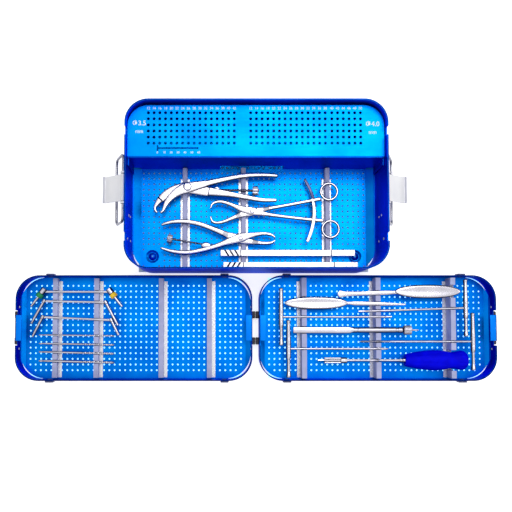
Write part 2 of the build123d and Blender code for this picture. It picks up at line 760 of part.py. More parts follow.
with BuildPart() as screwdriver_handle:
    with BuildSketch(Plane.XY):
        with BuildLine():
            Line((0, 0), (0, 9.5))
            Spline((0, 9.5), (16, 12.6), (36, 15.1), (52, 15.3), (66, 12.9), (71, 12.3), (77, 13.3))
            Spline((77, 13.3), (84, 14.8), (91, 13.2), (95.5, 6.0))
            Line((95.5, 6.0), (95.5, 0))
            Line((95.5, 0), (0, 0))
        make_face()
    revolve(axis=Axis.X)
    with BuildSketch(Plane(origin=(0, 0, 0), z_dir=(1, 0, 0))):
        Circle(2.1)
    extrude(amount=30, mode=Mode.SUBTRACT)
save(
    screwdriver_handle.part.moved(Location((226.8, DRIVER_Y, DRIVER_Z))),
    "screwdriver_handle",
)

with BuildPart() as screwdriver_shaft:
    rod((104, DRIVER_Y, DRIVER_Z), (252, DRIVER_Y, DRIVER_Z), 2.0)
    with BuildSketch(Plane(origin=(94.5, DRIVER_Y, DRIVER_Z), z_dir=(1, 0, 0))):
        RegularPolygon(1.7, 6)
    extrude(amount=10)
save(screwdriver_shaft.part, "screwdriver_shaft")

with BuildPart() as holding_sleeve:
    with BuildSketch(Plane(origin=(103.8, DRIVER_Y, DRIVER_Z), z_dir=(1, 0, 0))):
        Circle(4.4)
        Circle(2.0 + RUN, mode=Mode.SUBTRACT)
    extrude(amount=35)
    with Locations((115, DRIVER_Y, DRIVER_Z)):
        Box(30, 2.6, 12, mode=Mode.SUBTRACT)
save(holding_sleeve.part, "holding_sleeve")

# ---------------------------------------------------------------- forceps in the case


def lap_joint(path, widths, thickness, centre, relief_at, relief, upper, bore):
    """Half of a forceps: a tapering bar, halved in thickness inside the relief circle."""
    low = CASE_Z
    layer = thickness / 2
    with BuildPart() as half:
        with BuildSketch(Plane.XY.offset(low)):
            add(blade_outline(path, widths))
        extrude(amount=thickness)
        start = low if upper else low + layer - 0.1
        with BuildSketch(Plane.XY.offset(start)):
            with Locations(relief_at):
                Circle(relief)
        extrude(amount=layer + 0.1, mode=Mode.SUBTRACT)
        with BuildSketch(Plane.XY.offset(low)):
            with Locations(centre):
                Circle(bore + RUN)
        extrude(amount=thickness, mode=Mode.SUBTRACT)
    return half.part


def pivot_screw(centre, thickness, head, shank):
    """Screw through both halves, with its head on top."""
    with BuildPart() as screw:
        with BuildSketch(Plane.XY.offset(CASE_Z)):
            with Locations(centre):
                Circle(shank)
        extrude(amount=thickness + 0.1)
        with BuildSketch(Plane.XY.offset(CASE_Z + thickness + 0.1)):
            with Locations(centre):
                Circle(head)
        extrude(amount=1.2)
    return screw.part


def knurled_nut(start, end, radius, bore):
    """Round nut on a spindle, between two points of the spindle's axis."""
    axis = Vector(*end) - Vector(*start)
    with BuildPart() as nut:
        with BuildSketch(Plane(origin=start, z_dir=axis)):
            Circle(radius)
            Circle(bore, mode=Mode.SUBTRACT)
        extrude(amount=axis.length)
        chamfer(nut.edges().filter_by(GeomType.CIRCLE).group_by(SortBy.RADIUS)[-1], 0.8)
    return nut.part


# large bone holding forceps
BONE_PIVOT, BONE_THICK = (-103.9, 92.2), 9.0
BONE_RELIEF_AT, BONE_RELIEF = (-109.4, 79.0), 37.7  # the halves overlap further along the jaws
BONE_CLEVIS = (-59.0, 87.6)
bone_mid = CASE_Z + BONE_THICK / 2
bone_moving = lap_joint(
    [
        (34, 110),
        (8, 111.7),
        (-20, 110),
        (-48, 104.8),
        (-76, 98.3),
        (-104, 92),
        (-117, 87),
        (-128, 79),
        (-135.5, 70),
        (-139.6, 62),
        (-142, 56.6),
        (-146, 52.6),
    ],
    [5.0, 5.6, 6.2, 7.0, 8.5, 14.4, 12.6, 9.6, 7.2, 5.0, 4.0, 2.8],
    BONE_THICK,
    BONE_PIVOT,
    BONE_RELIEF_AT,
    BONE_RELIEF,
    True,
    3.4,
)
save(bone_moving, "bone_forceps_moving_half")

bone_fixed_bar = lap_joint(
    [
        (32, 72.6),
        (8, 73.2),
        (-14, 77),
        (-38, 81.6),
        (-58, 84.6),
        (-78, 87.4),
        (-104, 92.6),
        (-122, 91),
        (-136, 84),
        (-146, 75),
        (-152.4, 66.5),
        (-154.9, 59.5),
        (-151.4, 53.2),
    ],
    [4.6, 5.2, 6.0, 7.4, 10.0, 13.0, 15.4, 12.4, 11.4, 9.6, 6.0, 3.8, 2.8],
    BONE_THICK,
    BONE_PIVOT,
    BONE_RELIEF_AT,
    BONE_RELIEF,
    False,
    3.4,
)
with BuildPart() as bone_fixed:
    add(bone_fixed_bar)
    # the spindle lies in a slot along the lower handle
    with Locations(((BONE_CLEVIS[0] - 42) / 2, BONE_CLEVIS[1] - 2, bone_mid)):
        Box(42, 16, 5.2, mode=Mode.SUBTRACT)
    with BuildSketch(Plane.XY.offset(CASE_Z)):
        with Locations(BONE_CLEVIS):
            Circle(4.6)
    extrude(amount=(BONE_THICK - 5.2) / 2)
    with BuildSketch(Plane.XY.offset(bone_mid + 2.6)):
        with Locations(BONE_CLEVIS):
            Circle(4.6)
    extrude(amount=(BONE_THICK - 5.2) / 2)
    with BuildSketch(Plane.XY.offset(CASE_Z)):
        with Locations(BONE_CLEVIS):
            Circle(1.6)
    extrude(amount=BONE_THICK)
save(bone_fixed.part, "bone_forceps_fixed_half")
save(pivot_screw(BONE_PIVOT, BONE_THICK, 6.6, 3.4), "bone_forceps_pivot")

BONE_SPINDLE_END = (5.5, 86.6)
with BuildPart() as bone_spindle:
    rod((BONE_CLEVIS[0] + 2, BONE_CLEVIS[1], bone_mid), (*BONE_SPINDLE_END, bone_mid), 2.2)
    with BuildSketch(Plane.XY.offset(bone_mid - 2.4)):
        with Locations(BONE_CLEVIS):
            Circle(4.4)
    extrude(amount=4.8)
    with BuildSketch(Plane.XY.offset(bone_mid - 3)):
        with Locations(BONE_CLEVIS):
            Circle(1.6 + RUN)
    extrude(amount=6, mode=Mode.SUBTRACT)
save(bone_spindle.part, "bone_forceps_spindle")
save(
    knurled_nut((-4.2, 86.7, bone_mid), (4.0, 86.6, bone_mid), 7.0, 2.2 + RUN),
    "bone_forceps_nut",
)

# pointed reduction forceps
RED_PIVOT, RED_THICK = (-5.0, 55.0), 6.0
RED_RING, RED_RING_WIRE = 14.6, 2.6
upper_ring, lower_ring = (113.0, 85.6), (115.0, 27.6)


def reduction_half(path, widths, upper, ring, arm, arm_z):
    """One half with its finger ring and its ratchet arm."""
    bar = lap_joint(path, widths, RED_THICK, RED_PIVOT, RED_PIVOT, 17.5, upper, 2.2)
    with BuildPart() as half:
        add(bar)
        with BuildSketch(Plane.XY.offset(CASE_Z)):
            with Locations(ring):
                Circle(RED_RING)
                Circle(RED_RING - RED_RING_WIRE, mode=Mode.SUBTRACT)
        extrude(amount=5)
        with BuildSketch(Plane.XY.offset(arm_z)):
            add(blade_outline(arm, [3.4, 4.2, 4.6, 4.6, 4.0]))
        extrude(amount=2.4)
        with BuildSketch(Plane.XY.offset(min(arm_z, CASE_Z + 1))):
            with Locations(arm[0]):
                Circle(2.4)
        extrude(amount=RED_THICK - 0.5)
    return half.part


red_moving = reduction_half(
    [
        (101, 74.4),
        (92, 72.8),
        (68, 68.2),
        (38, 62.6),
        (14, 58.4),
        (-5, 54.6),
        (-21, 50.6),
        (-38, 43.4),
        (-52, 38.2),
        (-62, 37.6),
        (-67, 41.5),
        (-68.6, 47.5),
    ],
    [7.0, 4.6, 4.2, 4.4, 5.4, 9.6, 7.0, 4.8, 4.2, 3.6, 2.8, 1.4],
    False,
    upper_ring,
    [(87.4, 71.5), (89.4, 58), (88.8, 43), (85, 25), (78.4, 7)],
    CASE_Z + RED_THICK + 0.3,
)
save(red_moving, "reduction_forceps_moving_half")
red_fixed = reduction_half(
    [
        (105, 40.4),
        (92, 41.6),
        (68, 44.0),
        (38, 47.6),
        (14, 51.2),
        (-5, 55.4),
        (-21, 58.8),
        (-38, 65.8),
        (-52, 69.8),
        (-62, 68.6),
        (-67, 64.6),
        (-68.6, 58.8),
    ],
    [7.0, 4.6, 4.2, 4.4, 5.4, 9.6, 7.0, 4.8, 4.2, 3.6, 2.8, 1.4],
    True,
    lower_ring,
    [(87.6, 43.0), (90.4, 58), (89.2, 74), (84, 90), (75.6, 106)],
    CASE_Z - 2.7,
)
save(red_fixed, "reduction_forceps_fixed_half")
save(pivot_screw(RED_PIVOT, RED_THICK, 3.6, 2.2), "reduction_forceps_pivot")

# small bone holding forceps
SMALL_PIVOT, SMALL_THICK = (-23.0, 13.4), 7.0
SMALL_BOSS = (-75.5, 3.6)
small_mid = CASE_Z + SMALL_THICK / 2
small_moving = lap_joint(
    [
        (-144, 34),
        (-127, 38.6),
        (-106, 39.2),
        (-84, 35),
        (-62, 26.8),
        (-42, 18.6),
        (-23, 12.6),
        (-6, 8.6),
        (10, 6.2),
        (23, 6.6),
        (30.5, 10.4),
    ],
    [3.0, 4.8, 5.4, 5.8, 6.2, 8.0, 11.0, 6.2, 4.6, 4.2, 2.4],
    SMALL_THICK,
    SMALL_PIVOT,
    SMALL_PIVOT,
    19.0,
    False,
    2.4,
)
save(small_moving, "small_forceps_moving_half")

small_fixed_bar = lap_joint(
    [
        (-145, -1.2),
        (-127, -6.6),
        (-106, -8.6),
        (-84, -5.2),
        (-62, 0.8),
        (-42, 8.0),
        (-23, 14.0),
        (-6, 18.2),
        (10, 20.4),
        (23, 19.0),
        (30.5, 14.2),
    ],
    [3.0, 4.8, 5.4, 5.8, 6.2, 8.0, 11.0, 6.2, 4.6, 4.2, 2.4],
    SMALL_THICK,
    SMALL_PIVOT,
    SMALL_PIVOT,
    19.0,
    True,
    2.4,
)
with BuildPart() as small_fixed:
    add(small_fixed_bar)
    with BuildSketch(Plane.XY.offset(CASE_Z)):
        with Locations((SMALL_BOSS[0], SMALL_BOSS[1] - 1)):
            Ellipse(7.5, 5.4)
    extrude(amount=SMALL_THICK)
    with Locations((SMALL_BOSS[0] - 6, SMALL_BOSS[1] + 2.9, small_mid)):
        Box(24, 10, 4.2, mode=Mode.SUBTRACT)
    with BuildSketch(Plane.XY.offset(small_mid - 2.1)):
        with Locations(SMALL_BOSS):
            Circle(3.7)
    extrude(amount=4.2, mode=Mode.SUBTRACT)
    with BuildSketch(Plane.XY.offset(CASE_Z)):
        with Locations(SMALL_BOSS):
            Circle(1.2)
    extrude(amount=SMALL_THICK)
save(small_fixed.part, "small_forceps_fixed_half")
save(pivot_screw(SMALL_PIVOT, SMALL_THICK, 3.4, 2.4), "small_forceps_pivot")

SMALL_SPINDLE_END = (-135.5, 13.6)
with BuildPart() as small_spindle:
    rod((SMALL_BOSS[0] - 1.5, SMALL_BOSS[1], small_mid), (*SMALL_SPINDLE_END, small_mid), 1.7)
    with BuildSketch(Plane.XY.offset(small_mid - 1.9)):
        with Locations(SMALL_BOSS):
            Circle(3.2)
            Circle(1.2 + RUN, mode=Mode.SUBTRACT)
    extrude(amount=3.8)
    with BuildSketch(Plane.XY.offset(small_mid - 3)):
        with Locations(SMALL_BOSS):
            Circle(1.2 + RUN)
    extrude(amount=6, mode=Mode.SUBTRACT)
save(small_spindle.part, "small_forceps_spindle")
spindle_run = Vector(*SMALL_SPINDLE_END) - Vector(*SMALL_BOSS)
nut_outer = Vector(*SMALL_SPINDLE_END) - spindle_run.normalized() * 1.2
nut_inner = nut_outer - spindle_run.normalized() * 7.6
save(
    knurled_nut(
        (nut_inner.X, nut_inner.Y, small_mid), (nut_outer.X, nut_outer.Y, small_mid), 6.6, 1.78
    ),
    "small_forceps_nut",
)

# ---------------------------------------------------------------- plate bending irons

IRON_WIDTH, IRON_THICK = 9.2, 6.0
for name, x0, x1, y, slant, slot_xs in (
    ("bending_iron_rear", -53.2, 151.2, -9.0, 1, (-44, -36.5, -29)),
    ("bending_iron_front", -49.2, 155.4, -27.7, -1, (-41, -33.5, -26)),
):
    waist_left, waist_right = x0 + 31, x1 - 36
    with BuildPart() as iron:
        with Locations(((x0 + x1) / 2, y, CASE_Z + IRON_THICK / 2)):
            Box(x1 - x0, IRON_WIDTH, IRON_THICK)
        with Locations(((waist_left + waist_right) / 2, y, CASE_Z + IRON_THICK)):
            Box(waist_right - waist_left, IRON_WIDTH + 1, 1.6, mode=Mode.SUBTRACT)
        for slot_x in slot_xs:
            with Locations(Location((slot_x, y, CASE_Z + IRON_THICK), (0, 0, slant * 32))):
                Box(2.0, 14, 7.0, mode=Mode.SUBTRACT)
    save(iron.part, name)
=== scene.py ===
import json
import math

import bmesh
import bpy
from mathutils import Matrix, Vector


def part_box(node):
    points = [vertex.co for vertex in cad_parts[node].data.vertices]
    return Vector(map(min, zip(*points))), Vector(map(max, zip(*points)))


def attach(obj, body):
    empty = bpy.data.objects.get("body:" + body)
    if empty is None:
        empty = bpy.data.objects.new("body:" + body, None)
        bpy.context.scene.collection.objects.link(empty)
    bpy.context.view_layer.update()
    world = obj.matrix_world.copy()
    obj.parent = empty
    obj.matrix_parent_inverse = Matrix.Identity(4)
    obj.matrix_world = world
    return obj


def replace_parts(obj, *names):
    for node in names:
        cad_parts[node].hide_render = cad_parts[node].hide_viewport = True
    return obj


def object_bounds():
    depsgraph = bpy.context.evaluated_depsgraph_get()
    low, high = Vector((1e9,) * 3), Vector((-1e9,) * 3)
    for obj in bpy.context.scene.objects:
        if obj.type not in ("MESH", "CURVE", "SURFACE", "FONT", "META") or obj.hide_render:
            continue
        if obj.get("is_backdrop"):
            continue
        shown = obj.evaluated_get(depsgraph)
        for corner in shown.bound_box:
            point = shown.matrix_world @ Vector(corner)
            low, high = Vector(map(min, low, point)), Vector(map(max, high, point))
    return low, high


# The looks of the instrument set. Lengths inside the builders are in millimetres and are
# turned into metres when a mesh is made. Each new piece is centred on the box of the CAD
# node it stands for.

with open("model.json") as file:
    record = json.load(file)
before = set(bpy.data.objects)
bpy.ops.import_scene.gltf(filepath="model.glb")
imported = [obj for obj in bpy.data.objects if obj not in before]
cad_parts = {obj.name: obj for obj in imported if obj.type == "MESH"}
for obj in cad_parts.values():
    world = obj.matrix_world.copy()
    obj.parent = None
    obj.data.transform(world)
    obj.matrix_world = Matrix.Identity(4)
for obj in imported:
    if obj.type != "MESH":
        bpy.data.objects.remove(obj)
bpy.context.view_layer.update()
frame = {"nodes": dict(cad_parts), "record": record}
MM = 0.001
NODES = frame["nodes"]
BODY_OF = {node: body for body, group in frame["record"]["behaviour"]["bodies"].items() for node in group}


# ---------------------------------------------------------------- camera and light

camera_data = bpy.data.cameras.new("camera")
camera = bpy.data.objects.new("camera", camera_data)
bpy.context.scene.collection.objects.link(camera)
camera.location = (-0.0527, -0.1219, 1.087)
camera.rotation_euler = (math.radians(2.95), 0, 0)
camera_data.lens = 49.2
camera_data.sensor_width = 36
camera_data.shift_x = 0.0684
camera_data.shift_y = 0.0684
camera_data.clip_start = 0.05
camera_data.clip_end = 20
bpy.context.scene.camera = camera
bpy.context.scene.view_settings.view_transform = "Standard"


def area_light(name, place, target, size, power, tint=(1, 1, 1)):
    data = bpy.data.lights.new(name, "AREA")
    data.shape = "SQUARE"
    data.size = size
    data.energy = power
    data.color = tint
    light = bpy.data.objects.new(name, data)
    bpy.context.scene.collection.objects.link(light)
    light.location = place
    aim = Vector(target) - Vector(place)
    light.rotation_euler = aim.to_track_quat("-Z", "Y").to_euler()
    return light


area_light("light_overhead", (0.25, 0.55, 1.7), (0, 0.05, 0), 0.9, 9)
area_light("light_front_left", (-1.3, -1.2, 1.2), (0, 0, 0), 0.9, 1.4)
area_light("light_right", (1.5, 0.1, 1.0), (0, 0, 0), 0.8, 2.5)

world = bpy.data.worlds.new("studio")
bpy.context.scene.world = world
world.use_nodes = True
tree = world.node_tree
tree.nodes.clear()
world_out = tree.nodes.new("ShaderNodeOutputWorld")
background = tree.nodes.new("ShaderNodeBackground")
direction = tree.nodes.new("ShaderNodeTexCoord")
split = tree.nodes.new("ShaderNodeSeparateXYZ")
ramp = tree.nodes.new("ShaderNodeValToRGB")
ramp.color_ramp.elements[0].position = 0.0
ramp.color_ramp.elements[0].color = (0.42, 0.43, 0.46, 1)
ramp.color_ramp.elements[1].position = 0.85
ramp.color_ramp.elements[1].color = (1, 1, 1, 1)
tree.links.new(direction.outputs["Generated"], split.inputs[0])
tree.links.new(split.outputs["Z"], ramp.inputs[0])
tree.links.new(ramp.outputs[0], background.inputs["Color"])
background.inputs["Strength"].default_value = 0.8
tree.links.new(background.outputs[0], world_out.inputs[0])


# ---------------------------------------------------------------- materials


class Nodes:
    """A small helper round one material's node tree."""

    def __init__(self, name):
        self.material = bpy.data.materials.new(name)
        self.material.use_nodes = True
        self.tree = self.material.node_tree
        self.shader = self.tree.nodes["Principled BSDF"]
        self.place = self.add("ShaderNodeTexCoord").outputs["Object"]

    def add(self, kind, **inputs):
        node = self.tree.nodes.new(kind)
        for name, value in inputs.items():
            node.inputs[name.replace("_", " ")].default_value = value
        return node

    def link(self, source, target):
        self.tree.links.new(source, target)

    def stretched(self, scale):
        mapping = self.add("ShaderNodeMapping")
        mapping.inputs["Scale"].default_value = scale
        self.link(self.place, mapping.inputs["Vector"])
        return mapping.outputs[0]

    def noise(self, scale, detail=4.0, stretch=None):
        node = self.add("ShaderNodeTexNoise", Scale=scale, Detail=detail)
        self.link(self.stretched(stretch) if stretch else self.place, node.inputs["Vector"])
        return node.outputs["Fac"]

    def ramp(self, source, low, high, low_at=0.35, high_at=0.65):
        node = self.add("ShaderNodeValToRGB")
        ends = node.color_ramp.elements
        ends[0].position, ends[0].color = low_at, (*low, 1)
        ends[1].position, ends[1].color = high_at, (*high, 1)
        self.link(source, node.inputs[0])
        return node.outputs[0]

    def span(self, source, low, high):
        node = self.add("ShaderNodeMapRange")
        node.inputs["To Min"].default_value = low
        node.inputs["To Max"].default_value = high
        self.link(source, node.inputs["Value"])
        return node.outputs[0]

    def bump(self, source, strength, distance):
        node = self.add("ShaderNodeBump", Strength=strength, Distance=distance)
        self.link(source, node.inputs["Height"])
        self.link(node.outputs[0], self.shader.inputs["Normal"])


def anodised(name, shade, light, metallic=1.0, rough=(0.3, 0.44)):
    """Dyed anodised aluminium: faint dye clouds, fine rolled grain and small scuffs."""
    n = Nodes(name)
    n.link(n.ramp(n.noise(22, 5), shade, light), n.shader.inputs["Base Color"])
    n.shader.inputs["Metallic"].default_value = metallic
    n.link(n.span(n.noise(60, 3, (1, 14, 14)), *rough), n.shader.inputs["Roughness"])
    n.bump(n.noise(420, 2, (1, 9, 9)), 0.12, 0.0002)
    n.shader.inputs["Specular Tint"].default_value = (0.15, 0.3, 0.9, 1)
    return n.material


def steel(name, shade, light, rough, grain, bump=0.015, edge=(0.03, 0.035, 0.1), metal=1.0,
          facing=(0.68, 0.965)):
    """Stainless steel with a polishing grain; its flanks get a painted shade in the edge colour, darker
    than its faces.
    """
    n = Nodes(name)
    clouds = n.ramp(n.noise(35, 4), shade, light, 0.3, 0.7)
    shape = n.add("ShaderNodeTexCoord")
    parts = n.add("ShaderNodeSeparateXYZ")
    n.link(shape.outputs["Normal"], parts.inputs[0])
    upright = n.add("ShaderNodeMath")
    upright.operation = "ABSOLUTE"
    n.link(parts.outputs["Z"], upright.inputs[0])
    # Painted shade: faces whose object-space normal leans away from upright turn to the edge colour.
    flank_shade = n.ramp(upright.outputs[0], (1, 1, 1), (0, 0, 0), *facing)
    mix = n.add("ShaderNodeMix")
    mix.data_type = "RGBA"
    colour_a = [socket for socket in mix.inputs if socket.name == "A" and socket.type == "RGBA"][0]
    colour_b = [socket for socket in mix.inputs if socket.name == "B" and socket.type == "RGBA"][0]
    colour_out = [socket for socket in mix.outputs if socket.type == "RGBA"][0]
    n.link(flank_shade, mix.inputs["Factor"])
    n.link(clouds, colour_a)
    colour_b.default_value = (*edge, 1)
    n.link(colour_out, n.shader.inputs["Base Color"])
    n.shader.inputs["Metallic"].default_value = metal
    n.link(n.span(n.noise(180, 3, grain), *rough), n.shader.inputs["Roughness"])
    n.bump(n.noise(900, 2, grain), bump, 0.0001)
    return n.material


def rubbery(name, shade, light, rough, pebble, bump, sheen=0.0):
    """Silicone or rubber: soft colour clouds and a moulded skin."""
    n = Nodes(name)
    n.link(n.ramp(n.noise(70, 5), shade, light), n.shader.inputs["Base Color"])
    n.link(n.span(n.noise(150, 2), *rough), n.shader.inputs["Roughness"])
    n.bump(n.noise(pebble, 3), bump, 0.0002)
    n.shader.inputs["Sheen Weight"].default_value = sheen
    return n.material


BLUE_CASE_FLOOR = anodised("anodised_case_floor", (0.0, 0.22, 0.84), (0.0, 0.32, 0.96))
BLUE_RACK = anodised("anodised_rack", (0.0, 0.2, 0.78), (0.0, 0.27, 0.9))
# The apron and the case wall take darker copies of the floor's blue: painted shade on their upright faces.
SHADED_APRON_BLUE = anodised("anodised_apron_painted_shade", (0.0, 0.09, 0.54), (0.0, 0.12, 0.62))
SHADED_CASE_WALL_BLUE = anodised("anodised_case_wall_painted_shade", (0.0, 0.075, 0.55), (0.0, 0.095, 0.64))
BLUE_TRAY_FLOOR = anodised("anodised_tray_floor", (0.0, 0.16, 0.78), (0.0, 0.26, 0.94))
# The tray wall's navy and the grip's lighter blue are one anodised sheet: painted shade on the upright
# wall, painted light on the flat grip.
SHADED_NAVY_BLUE = anodised("anodised_navy_painted_shade", (0.0, 0.028, 0.34), (0.0, 0.04, 0.4))
LIT_GRIP_BLUE = anodised("anodised_grip_painted_light", (0.0, 0.19, 0.92), (0.0, 0.24, 1.0), 0.5)
# The rims take a lighter blue than their walls: a painted highlight along the top edges.
RIM_HIGHLIGHT_BLUE = anodised("anodised_rim_painted_highlight", (0.06, 0.42, 0.8), (0.14, 0.56, 0.9), 0.0, (0.25, 0.35))
TRAY_RIM_HIGHLIGHT_BLUE = anodised("anodised_tray_rim_painted_highlight", (0.01, 0.24, 0.74), (0.03, 0.34, 0.84), 0.2, (0.25, 0.35))
BRIGHT_ALUMINIUM = steel(
    "aluminium_bright", (0.92, 0.92, 0.98), (1.0, 1.0, 1.0), (0.22, 0.32), (9, 1, 9), 0.03,
    (0.4, 0.42, 0.66), 0.6, (0.3, 0.9),
)
SILICONE = rubbery("silicone_grey", (0.36, 0.39, 0.62), (0.44, 0.46, 0.72), (0.45, 0.6), 300, 0.15, 0.15)
RUBBER = rubbery("rubber_dark", (0.020, 0.014, 0.02), (0.06, 0.045, 0.06), (0.5, 0.7), 500, 0.3)
# The lugs' dark navy is painted shade: they sit low beside the tray ends.
LUG_SHADE = rubbery("lug_painted_shade", (0.035, 0.045, 0.12), (0.08, 0.1, 0.22), (0.35, 0.5), 500, 0.15)
HANDLE_BLUE = rubbery("handle_silicone", (0.0, 0.0, 0.7), (0.0, 0.001, 0.84), (0.5, 0.62), 240, 0.12)
PLATE_STEEL = steel(
    "brushed_plate", (0.93, 0.93, 0.95), (1.0, 1.0, 1.0), (0.3, 0.42), (1, 12, 12), 0.05,
    (0.25, 0.25, 0.32), 0.15, (0.2, 0.9),
)
WIRE_STEEL = steel(
    "drawn_wire", (0.4, 0.4, 0.44), (0.6, 0.6, 0.64), (0.2, 0.3), (8, 8, 1), 0.05, (0.12, 0.12, 0.16), 0.8
)
TOOL_STEEL = steel("satin_instrument", (0.6, 0.58, 0.68), (0.78, 0.76, 0.86), (0.24, 0.34), (3, 9, 9))
MIRROR_STEEL = steel(
    "polished_instrument", (0.68, 0.66, 0.74), (0.84, 0.82, 0.9), (0.2, 0.28), (2, 6, 6), 0.006
)
IRON_STEEL = steel(
    "ground_iron", (0.86, 0.84, 0.92), (0.97, 0.96, 1.0), (0.25, 0.34), (1, 9, 9), 0.04, metal=0.55
)
# A near-black navy steel that stands for painted shade.
SHADED_STEEL = steel(
    "steel_painted_shade", (0.03, 0.035, 0.1), (0.12, 0.13, 0.24), (0.25, 0.35), (3, 9, 9), 0.05,
    (0.02, 0.03, 0.08),
)
GREEN_COLLAR = rubbery("collar_green", (0.0, 0.2, 0.06), (0.02, 0.32, 0.12), (0.25, 0.35), 400, 0.08)
YELLOW_COLLAR = rubbery("collar_yellow", (0.8, 0.46, 0.0), (0.95, 0.62, 0.01), (0.25, 0.35), 400, 0.08)
# Near-black matt lines of painted shade for the irons' slots and steps.
LINE_SHADE = rubbery("line_painted_shade", (0.003, 0.004, 0.02), (0.012, 0.014, 0.05), (0.5, 0.65), 500, 0.1)
for matt, level in ((HANDLE_BLUE, 0.05), (LINE_SHADE, 0.1)):
    matt.node_tree.nodes["Principled BSDF"].inputs["Specular IOR Level"].default_value = level
MARKING = rubbery("marking_white", (0.75, 0.88, 0.98), (0.95, 0.99, 1.0), (0.5, 0.6), 600, 0.05)


# ---------------------------------------------------------------- mesh builders


def mesh_piece(name, body, verts, faces, material, smooth=40):
    mesh = bpy.data.meshes.new(name)
    mesh.from_pydata([(x * MM, y * MM, z * MM) for x, y, z in verts], [], faces)
    mesh.validate()
    work = bmesh.new()
    work.from_mesh(mesh)
    bmesh.ops.recalc_face_normals(work, faces=work.faces)
    limit = math.radians(smooth)
    for edge in work.edges:
        edge.smooth = len(edge.link_faces) == 2 and edge.calc_face_angle(0) < limit
    for face in work.faces:
        face.smooth = True
    work.to_mesh(mesh)
    work.free()
    mesh.materials.append(material)
    piece = bpy.data.objects.new(name, mesh)
    bpy.context.scene.collection.objects.link(piece)
    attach(piece, body)
    return piece


def own_piece(name, node, shell, material, smooth=40):
    """A piece on the body of the CAD node it is made for."""
    return mesh_piece(name, BODY_OF[node], shell.verts, shell.faces, material, smooth)


def stand_for(piece, *nodes):
    """Centre a piece on the joint box of the nodes it replaces, then replace them."""
    lows, highs = zip(*(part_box(node) for node in nodes))
    low = Vector([min(v[i] for v in lows) for i in range(3)])
    high = Vector([max(v[i] for v in highs) for i in range(3)])
    own = [v.co for v in piece.data.vertices]
    own_low = Vector([min(v[i] for v in own) for i in range(3)])
    own_high = Vector([max(v[i] for v in own) for i in range(3)])
    shift = (low + high) / 2 - (own_low + own_high) / 2
    piece.data.transform(Matrix.Translation(shift))
    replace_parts(piece, *nodes)
    return piece


class Shell:
    """Vertices and faces that builders add to, so one piece can hold several solids."""

    def __init__(self):
        self.verts = []
        self.faces = []

    def rings(self, rings, closed=False):
        """Skin a list of equal rings; open runs get end caps."""
        base, m = len(self.verts), len(rings[0])
        for ring in rings:
            self.verts.extend(ring)
        count = len(rings)
        for i in range(count if closed else count - 1):
            a, b = base + i * m, base + (i + 1) % count * m
            for j in range(m):
                k = (j + 1) % m
                self.faces.append((a + j, a + k, b + k, b + j))
        if not closed:
            self.faces.append(tuple(base + j for j in range(m)))
            self.faces.append(tuple(base + (count - 1) * m + j for j in range(m - 1, -1, -1)))


def between(t, a, b, c, d):
    """The Catmull-Rom value a share t of the way from b to c."""
    return 0.5 * (
        2 * b + (c - a) * t + (2 * a - 5 * b + 4 * c - d) * t * t + (3 * b - a - 3 * c + d) * t**3
    )


def smooth_path(points, count, closed=False):
    """Evenly spaced points of a Catmull-Rom curve, each with its value rows interpolated."""
    last = len(points) - 1
    dense = []
    spans = len(points) if closed else last
    for i in range(spans):
        if closed:
            p = [points[(i + k) % len(points)] for k in (-1, 0, 1, 2)]
        else:
            p = [points[max(0, min(last, i + k))] for k in (-1, 0, 1, 2)]
        for step in range(24):
            t = step / 24
            dense.append([between(t, *row) for row in zip(*p)])
    if not closed:
        dense.append(list(points[last]))
    else:
        dense.append(dense[0])
    reach = [0.0]
    for a, b in zip(dense, dense[1:]):
        reach.append(reach[-1] + math.hypot(b[0] - a[0], b[1] - a[1]))
    total = reach[-1]
    result = []
    at = 0
    steps = count if closed else count - 1
    for i in range(count):
        want = total * i / steps
        while at < len(dense) - 2 and reach[at + 1] < want:
            at += 1
        gap = reach[at + 1] - reach[at]
        t = (want - reach[at]) / gap if gap > 0 else 0
        result.append([a + (b - a) * t for a, b in zip(dense[at], dense[at + 1])])
    return result, total


